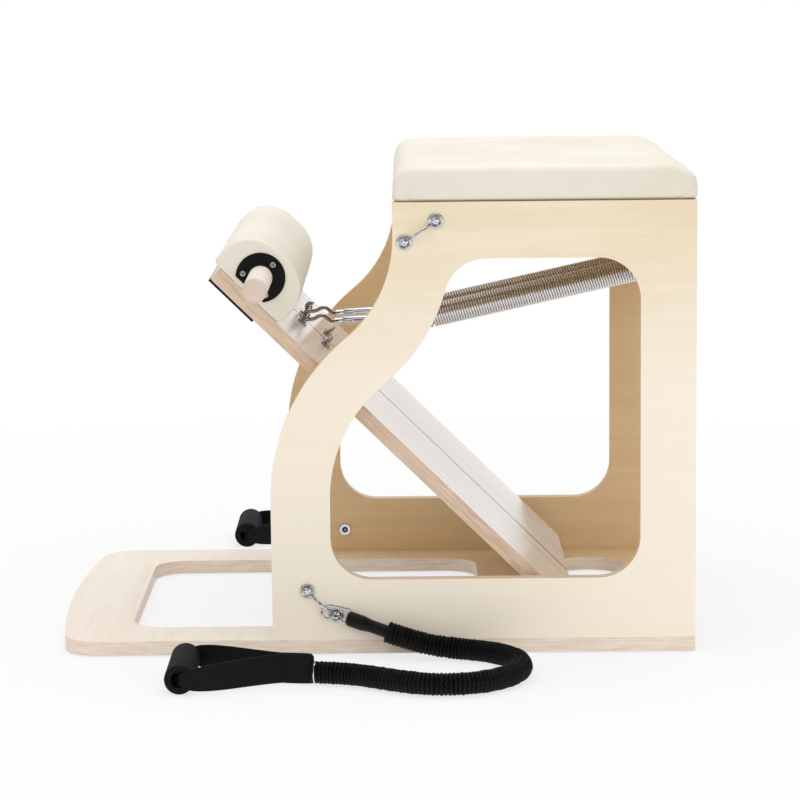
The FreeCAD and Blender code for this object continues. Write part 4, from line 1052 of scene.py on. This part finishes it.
# %% Vinyl and foam
def upholstery_vinyl():
    finish = Finish("cream_vinyl").coat("Specular IOR Level", 0.4)
    spot = finish.place()
    pebble = finish.add("ShaderNodeTexVoronoi", {"feature": "SMOOTH_F1"}, {"Vector": spot, "Scale": 900.0})
    creases = finish.noise(spot, 260.0, 4.0)
    wear = finish.noise(spot, 7.0, 3.0)
    finish.coat("Base Color", finish.two_tone(wear, 0.35, 0.65, ("e7e0d0", "eee8da")))
    finish.coat("Roughness", 0.4 + creases * 0.16)
    return finish.bump(pebble * 0.7 + creases * 0.3, 0.0004, 0.35).material


def points_of(made):
    found = np.zeros(len(made.data.vertices) * 3)
    made.data.vertices.foreach_get("co", found)
    return found.reshape(-1, 3)


def set_points(made, places):
    made.data.vertices.foreach_set("co", np.asarray(places, float).ravel())
    made.data.update()


def puffed(made, voxel, reach, loose, pressure=4.0, frames=20):
    """Blow a form up from inside. A point moves no further than reach, times how loose it is."""
    remesh = made.modifiers.new("even_skin", "REMESH")
    remesh.mode = "VOXEL"
    remesh.voxel_size = voxel
    applied(made)
    before = points_of(made)
    cloth = made.modifiers.new("blown_up", "CLOTH")
    cloth.settings.use_pressure = True
    cloth.settings.uniform_pressure_force = pressure
    cloth.settings.effector_weights.gravity = 0.0
    for number in range(1, frames + 1):
        scene.frame_set(number)
    graph = bpy.context.evaluated_depsgraph_get()
    after = points_of(made.evaluated_get(graph))
    made.modifiers.clear()
    scene.frame_set(1)
    move = after - before
    far = np.linalg.norm(move, axis=1)[:, None]
    move = move * np.minimum(1.0, reach / np.maximum(far, 1e-9))
    set_points(made, before + move * loose(before)[:, None])
    made.modifiers.new("finer_skin", "SUBSURF").levels = 1
    applied(made)
    made.data.polygons.foreach_set("use_smooth", [True] * len(made.data.polygons))
    return made


vinyl = upholstery_vinyl()
print("upholstery finish", vinyl.name)

# %% [markdown]
# ## Seat cushion
#
# The cover is pulled down hard over the front and back ends, which are low and rolled, while the long
# sides stand nearly upright to a tight roll. The spare vinyl is tucked at each corner in one slanting
# fold. Level rings take their heights from a formula of the place, so ends and sides may differ. The
# folds are pressed in last, because the even skin would wipe them out, and then the room for the seat's
# board is cut from below.

# %% Seat outline
SEAT_LOW, SEAT_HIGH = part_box("seat_cushion")
SEAT_VOXEL = 0.004
SEAT_REACH = 0.002
SEAT_SLACK = 0.0014
SEAT_OVERHANG = 0.004
SEAT_CORNER, LEAST_CORNER, CORNER_SHRINK = 0.011, 0.006, 0.3
SEAT_TUCK = 0.0024
FRONT_EDGE, FRONT_ROLL = 0.017, 0.022
BACK_EDGE, BACK_ROLL = 0.0195, 0.044
SIDE_ROLL = 0.010
BOARD_FIT = 0.0004
SIDE_RINGS = ((SEAT_TUCK, 0.0), (0.0006, 0.08), (0.0, 0.25), (0.0, 0.5), (0.0, 0.75))
TOP_RINGS = (0.0, 0.0006, 0.0016, 0.003, 0.005, 0.0075, 0.011, 0.016, 0.022, 0.03, 0.044, 0.08, 0.13)
STAPLED, FREE_ABOVE = 0.002, 0.014
FOLD_TOP, FOLD_REACH, FOLD_WIDTH, FOLD_DEPTH = 0.0165, 0.026, 0.0021, 0.0013
FOLD_MARGIN, FOLD_INSIDE, FLAP_DEPTH, FLAP_REACH = 0.004, 0.006, 0.0007, 0.012
seat_low = (SEAT_LOW.x + SEAT_SLACK, SEAT_LOW.y + SEAT_SLACK)
seat_high = (SEAT_HIGH.x + SEAT_OVERHANG - SEAT_SLACK, SEAT_HIGH.y - SEAT_SLACK)
seat_height = SEAT_HIGH.z - SEAT_LOW.z - SEAT_SLACK


def rounded_ring(inset, corner_points=9, side_points=26):
    """A level ring inside the seat's outline: a rectangle with rounded corners."""
    radius = max(LEAST_CORNER, SEAT_CORNER - inset * CORNER_SHRINK)
    low = [v + inset + radius for v in seat_low]
    high = [v - inset - radius for v in seat_high]
    middles = ((high[0], high[1]), (low[0], high[1]), (low[0], low[1]), (high[0], low[1]))
    outline = []
    for quarter, (x, y) in enumerate(middles):
        for i in range(corner_points):
            angle = math.pi / 2 * (quarter + i / (corner_points - 1))
            outline.append((x + radius * math.cos(angle), y + radius * math.sin(angle)))
    ring = []
    for a, b in zip(outline, outline[1:] + outline[:1]):
        steps = side_points if math.dist(a, b) > 2 * radius else 1
        ring += [(a[0] + (b[0] - a[0]) * k / steps, a[1] + (b[1] - a[1]) * k / steps) for k in range(steps)]
    return ring


def rolled(edge, reach, off):
    """A roll's height at a distance from its end: upright to an edge, then a quarter of an ellipse."""
    share = min(max(off / reach, 0.0), 1.0)
    return edge + (seat_height - edge) * math.sqrt(1 - (1 - share) ** 2)


def seat_top(x, y):
    """How high the cushion is above its board."""
    height = min(rolled(FRONT_EDGE, FRONT_ROLL, x - seat_low[0]),
                 rolled(BACK_EDGE, BACK_ROLL, seat_high[0] - x))
    off = min(y - seat_low[1], seat_high[1] - y, SIDE_ROLL)
    drop = SIDE_ROLL - math.sqrt(max(SIDE_ROLL ** 2 - (SIDE_ROLL - off) ** 2, 0.0))
    return height - drop * height / seat_height


print("seat height", round(seat_height, 4), "front edge", FRONT_EDGE, "back edge", BACK_EDGE)


# %% Seat cushion
def seat_form():
    """The cushion before it is blown up."""
    rings = []
    for inset, share in SIDE_RINGS:
        rings.append([(x, y, SEAT_LOW.z + share * seat_top(x, y)) for x, y in rounded_ring(inset)])
    for inset in TOP_RINGS:
        rings.append([(x, y, SEAT_LOW.z + seat_top(x, y)) for x, y in rounded_ring(inset)])
    return skin(rings)


def seat_loose(points):
    """The cover is stapled below, so it only swells higher up."""
    return np.clip((points[:, 2] - SEAT_LOW.z - STAPLED) / FREE_ABOVE, 0.0, 1.0)


def corner_folds(points):
    """Press one slanting fold into the long sides near each corner."""
    folded = points.copy()
    from_end = np.minimum(points[:, 0] - seat_low[0], seat_high[0] - points[:, 0])
    height = points[:, 2] - SEAT_LOW.z
    slant = math.hypot(FOLD_TOP, FOLD_REACH)
    off = (from_end * FOLD_TOP + (height - FOLD_TOP) * FOLD_REACH) / slant
    on_side = np.clip((np.abs(points[:, 1]) - seat_high[1] + FOLD_INSIDE) / FOLD_MARGIN, 0.0, 1.0)
    near = on_side * (from_end < FOLD_REACH + FOLD_MARGIN) * (height < FOLD_TOP + FOLD_MARGIN)
    press = FOLD_DEPTH * np.exp(-(off / FOLD_WIDTH) ** 2)
    press = press + FLAP_DEPTH * (off > 0) * np.exp(-off / FLAP_REACH)
    folded[:, 1] -= np.sign(points[:, 1]) * press * near
    folded[:, 2] = np.maximum(folded[:, 2], SEAT_LOW.z)
    return folded


def board_room():
    """The room that the seat's board fills, open below."""
    low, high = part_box("seat_board")
    xs = (low.x - BOARD_FIT, high.x + BOARD_FIT)
    ys = (low.y - BOARD_FIT, high.y + BOARD_FIT)
    corners = ((xs[0], ys[0]), (xs[1], ys[0]), (xs[1], ys[1]), (xs[0], ys[1]))
    return skin([[(x, y, z) for x, y in corners] for z in (low.z - CUT_PAST, high.z + BOARD_FIT)])


seat = puffed(piece("seat_upholstery", *seat_form(), vinyl), SEAT_VOXEL, SEAT_REACH, seat_loose)
set_points(seat, corner_folds(points_of(seat)))
hollowed(seat, piece("seat_room", *board_room(), vinyl))
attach(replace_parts(seat, "seat_cushion"), "frame")
print("seat", len(seat.data.vertices), "points")

# %% [markdown]
# ## Foot pads
#
# A foot pad is a loaf of foam round a wooden core, flat where it lies on its pedal and fuller at the
# shoulders than a half circle. Its end is closed by vinyl up to the black plate. A rounded section is
# swept along the pedal, and the rooms for the core and the plate are cut out last, so they stay crisp.

# %% Foot pads
PAD_VOXEL = 0.0027
PAD_REACH = 0.0012
PAD_X = -0.5815
PAD_FLOOR = 0.025
PAD_HALF = 0.0572
PAD_RISE = 0.0664
PAD_SHOULDER = 0.018
PAD_FULLNESS = 2.35
PAD_CORNER = 0.0075
PAD_SPAN = (0.0016, 0.2494)
CORE_RADIUS = 0.0342
CORE_BELOW = 0.004
INNER_ROLL = ((5.0, 0.0), (2.2, 0.9), (0.8, 2.6), (0.0, 6.0))
OUTER_ROLL = ((0.0, 4.0), (0.2, 1.5), (0.8, 0.4), (2.2, 0.0))
SEWN_END, FREE_INSIDE = 0.003, 0.03
CORE_END = 0.2482
PLATE_ROOM = 0.0312
PLATE_CHORD = 0.0202


def pad_section(inset, dome_points=64, corner_points=8):
    """A loaf's section, drawn in by an inset."""
    half = PAD_HALF - inset
    shoulder = PAD_FLOOR + PAD_SHOULDER
    dome = PAD_RISE - PAD_SHOULDER - inset
    corner = PAD_CORNER - inset * 0.5
    outline = []
    for i in range(dome_points + 1):
        angle = math.pi * i / dome_points
        along, up = math.cos(angle), max(math.sin(angle), 0.0)
        along = math.copysign(abs(along) ** (2 / PAD_FULLNESS), along)
        outline.append((PAD_X + half * along, shoulder + dome * up ** (2 / PAD_FULLNESS)))
    for end, turn in ((-1, math.pi), (1, 1.5 * math.pi)):
        for i in range(corner_points + 1):
            angle = turn + math.pi / 2 * i / corner_points
            outline.append((PAD_X + end * (half - corner) + corner * math.cos(angle),
                            PAD_FLOOR + inset + corner + corner * math.sin(angle)))
    return outline


def pad_form(sign):
    """One foot pad along its pedal: a soft roll by its twin and a tight one outside."""
    low, high = PAD_SPAN
    stops = [(inset / 1000, low + off / 1000) for inset, off in INNER_ROLL]
    stops += [(inset / 1000, high - off / 1000) for inset, off in OUTER_ROLL]
    rings = [[on_pedal(x, sign * y, z) for x, z in pad_section(inset)] for inset, y in stops]
    return skin(rings)


def round_room(sign, radius, drop, near, far):
    """A round room about the core's axis, cut flat at a drop below it."""
    x, z = DOWEL_ON_PEDAL
    lean = math.asin(min(drop / radius, 1.0))
    turns = np.linspace(-lean, math.pi + lean, 60)
    section = [(x + radius * math.cos(t), z + radius * math.sin(t)) for t in turns]
    return skin([[on_pedal(px, sign * y, pz) for px, pz in section] for y in (near, far)])


def pad_loose(points):
    """A pad's flat ends are sewn on, so it only swells between them."""
    from_end = np.minimum(np.abs(points[:, 1]) - PAD_SPAN[0], PAD_SPAN[1] - np.abs(points[:, 1]))
    return np.clip((from_end - SEWN_END) / FREE_INSIDE, 0.0, 1.0)


for side, sign in SIDES.items():
    form = piece(side + "_pad_upholstery", *pad_form(sign), vinyl)
    pad = puffed(form, PAD_VOXEL, PAD_REACH, pad_loose)
    core_drop = DOWEL_ON_PEDAL[1] - PAD_FLOOR + CORE_BELOW
    rooms = ((CORE_RADIUS, core_drop, PAD_SPAN[0] - CUT_PAST, CORE_END),
             (PLATE_ROOM, PLATE_CHORD, CORE_END - CUT_PAST, PAD_SPAN[1] + CUT_PAST))
    for room in rooms:
        hollowed(pad, piece(side + "_room", *round_room(sign, *room), vinyl))
    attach(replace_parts(pad, side + "_pedal_pad"), side + "_pedal")
    print(pad.name, len(pad.data.vertices), "points")

# %% [markdown]
# ## Floor and light
#
# The chair stands on white in soft light from all round, a little stronger from the camera's side.
# The floor is a pale surface that still takes the chair's shadow. Only what the camera and
# reflections see of it is lifted towards white, so it throws no extra light on the chair.

# %% Floor
FLOOR_LIFT = 0.72
FLOOR_WHITE_FROM = 0.5
FLOOR_WHITE_RATE = 0.8
FLOOR_REACH = 14.0


def seen_directly(finish):
    """One where a ray comes from the camera, a reflection or glass, and nothing elsewhere."""
    rays = [finish.add("ShaderNodeLightPath", output=name)
            for name in ("Is Camera Ray", "Is Glossy Ray", "Is Transmission Ray")]
    return rays[0].most(rays[1]).most(rays[2])


def sheet(name, corners, material):
    """A flat piece of the studio, which isn't part of the chair."""
    made = piece(name, corners, [(0, 1, 2, 3)], material)
    return made


def studio_floor():
    """A pale floor that turns to pure white away from the chair, as an overlit sweep does."""
    finish = Finish("studio_floor", roughness=0.9, base_color=tint("f4f4f4"))
    glow = finish.add("ShaderNodeEmission", None, {"Color": (1, 1, 1, 1), "Strength": 1.0})
    away = finish.add("ShaderNodeVectorMath", {"operation": "LENGTH"}, {0: finish.place()}, output="Value")
    light_fade = ((away - FLOOR_WHITE_FROM) * FLOOR_WHITE_RATE).most(0.0).least(1.0)
    lift = seen_directly(finish) * (light_fade * (1 - FLOOR_LIFT) + FLOOR_LIFT)
    shader = Sum(finish, finish.shader.outputs[0])
    blend = finish.add("ShaderNodeMixShader", None, {0: lift, 1: shader, 2: glow})
    output = finish.tree.nodes["Material Output"]
    finish.tree.links.new(blend.socket, output.inputs["Surface"])
    reach = FLOOR_REACH
    sheet("studio_floor", [(-reach, -reach, 0), (reach, -reach, 0), (reach, reach, 0), (-reach, reach, 0)],
          finish.material)


studio_floor()
print("floor reaches", FLOOR_REACH, "m each way")

# %% Sky, cards and lamps
SKY_LIGHT = 0.74
CARDS = {
    "near_card": [(-6, -6, 0.5), (6, -6, 0.5), (6, -6, 5), (-6, -6, 5)],
    "front_card": [(-6, -6, 0.5), (-6, 1, 0.5), (-6, 1, 5), (-6, -6, 5)],
    "back_card": [(6, -6, 0.5), (6, 1, 0.5), (6, 1, 5), (6, -6, 5)],
    "ceiling_card": [(-6, -6, 5), (6, -6, 5), (6, 0.5, 5), (-6, 0.5, 5)],
}
SOFTBOXES = {
    "key_box": ((-1.2, -2.8, 2.3), (0.0, 0.0, 0.3), 2.2, 13.0),
    "low_box": ((1.4, -2.7, 0.5), (0.0, 0.0, 0.2), 1.6, 8.0),
    "top_box": ((0.3, 0.2, 3.2), (0.0, 0.0, 0.2), 2.4, 33.0),
}


def dark_card(name, corners):
    """A grey board that only reflections see, so that bright metal shows a dark side."""
    card = sheet(name, corners, Finish(name, base_color=tint("262626"), roughness=1.0).material)
    card.visible_camera = False
    card.visible_diffuse = False
    card.visible_shadow = False
    card.visible_transmission = False


class Sky(Finish):
    """The world's own node tree, with the same sums."""

    def __init__(self):
        self.world = bpy.data.worlds.new("studio_sky")
        self.world.use_nodes = True
        self.tree = self.world.node_tree
        self.shader = self.tree.nodes["Background"]
        seen = seen_directly(self)
        self.feed(self.shader, "Strength", seen * (1.0 - SKY_LIGHT) + SKY_LIGHT)
        self.feed(self.shader, "Color", (1.0, 1.0, 1.0, 1.0))
        scene.world = self.world


def softbox(name, place, target, size, power):
    """A square lamp that looks at a target."""
    data = bpy.data.lights.new(name, "AREA")
    data.size = size
    data.energy = power
    lamp = bpy.data.objects.new(name, data)
    way = Vector(target) - Vector(place)
    lamp.matrix_world = Matrix.Translation(place) @ way.to_track_quat("-Z", "Y").to_matrix().to_4x4()
    scene.collection.objects.link(lamp)


for name, corners in CARDS.items():
    dark_card(name, corners)
Sky()
for name, settings in SOFTBOXES.items():
    softbox(name, *settings)
scene.view_settings.view_transform = "Standard"
print("sky,", len(CARDS), "cards and", len(SOFTBOXES), "lamps set")

# %% [markdown]
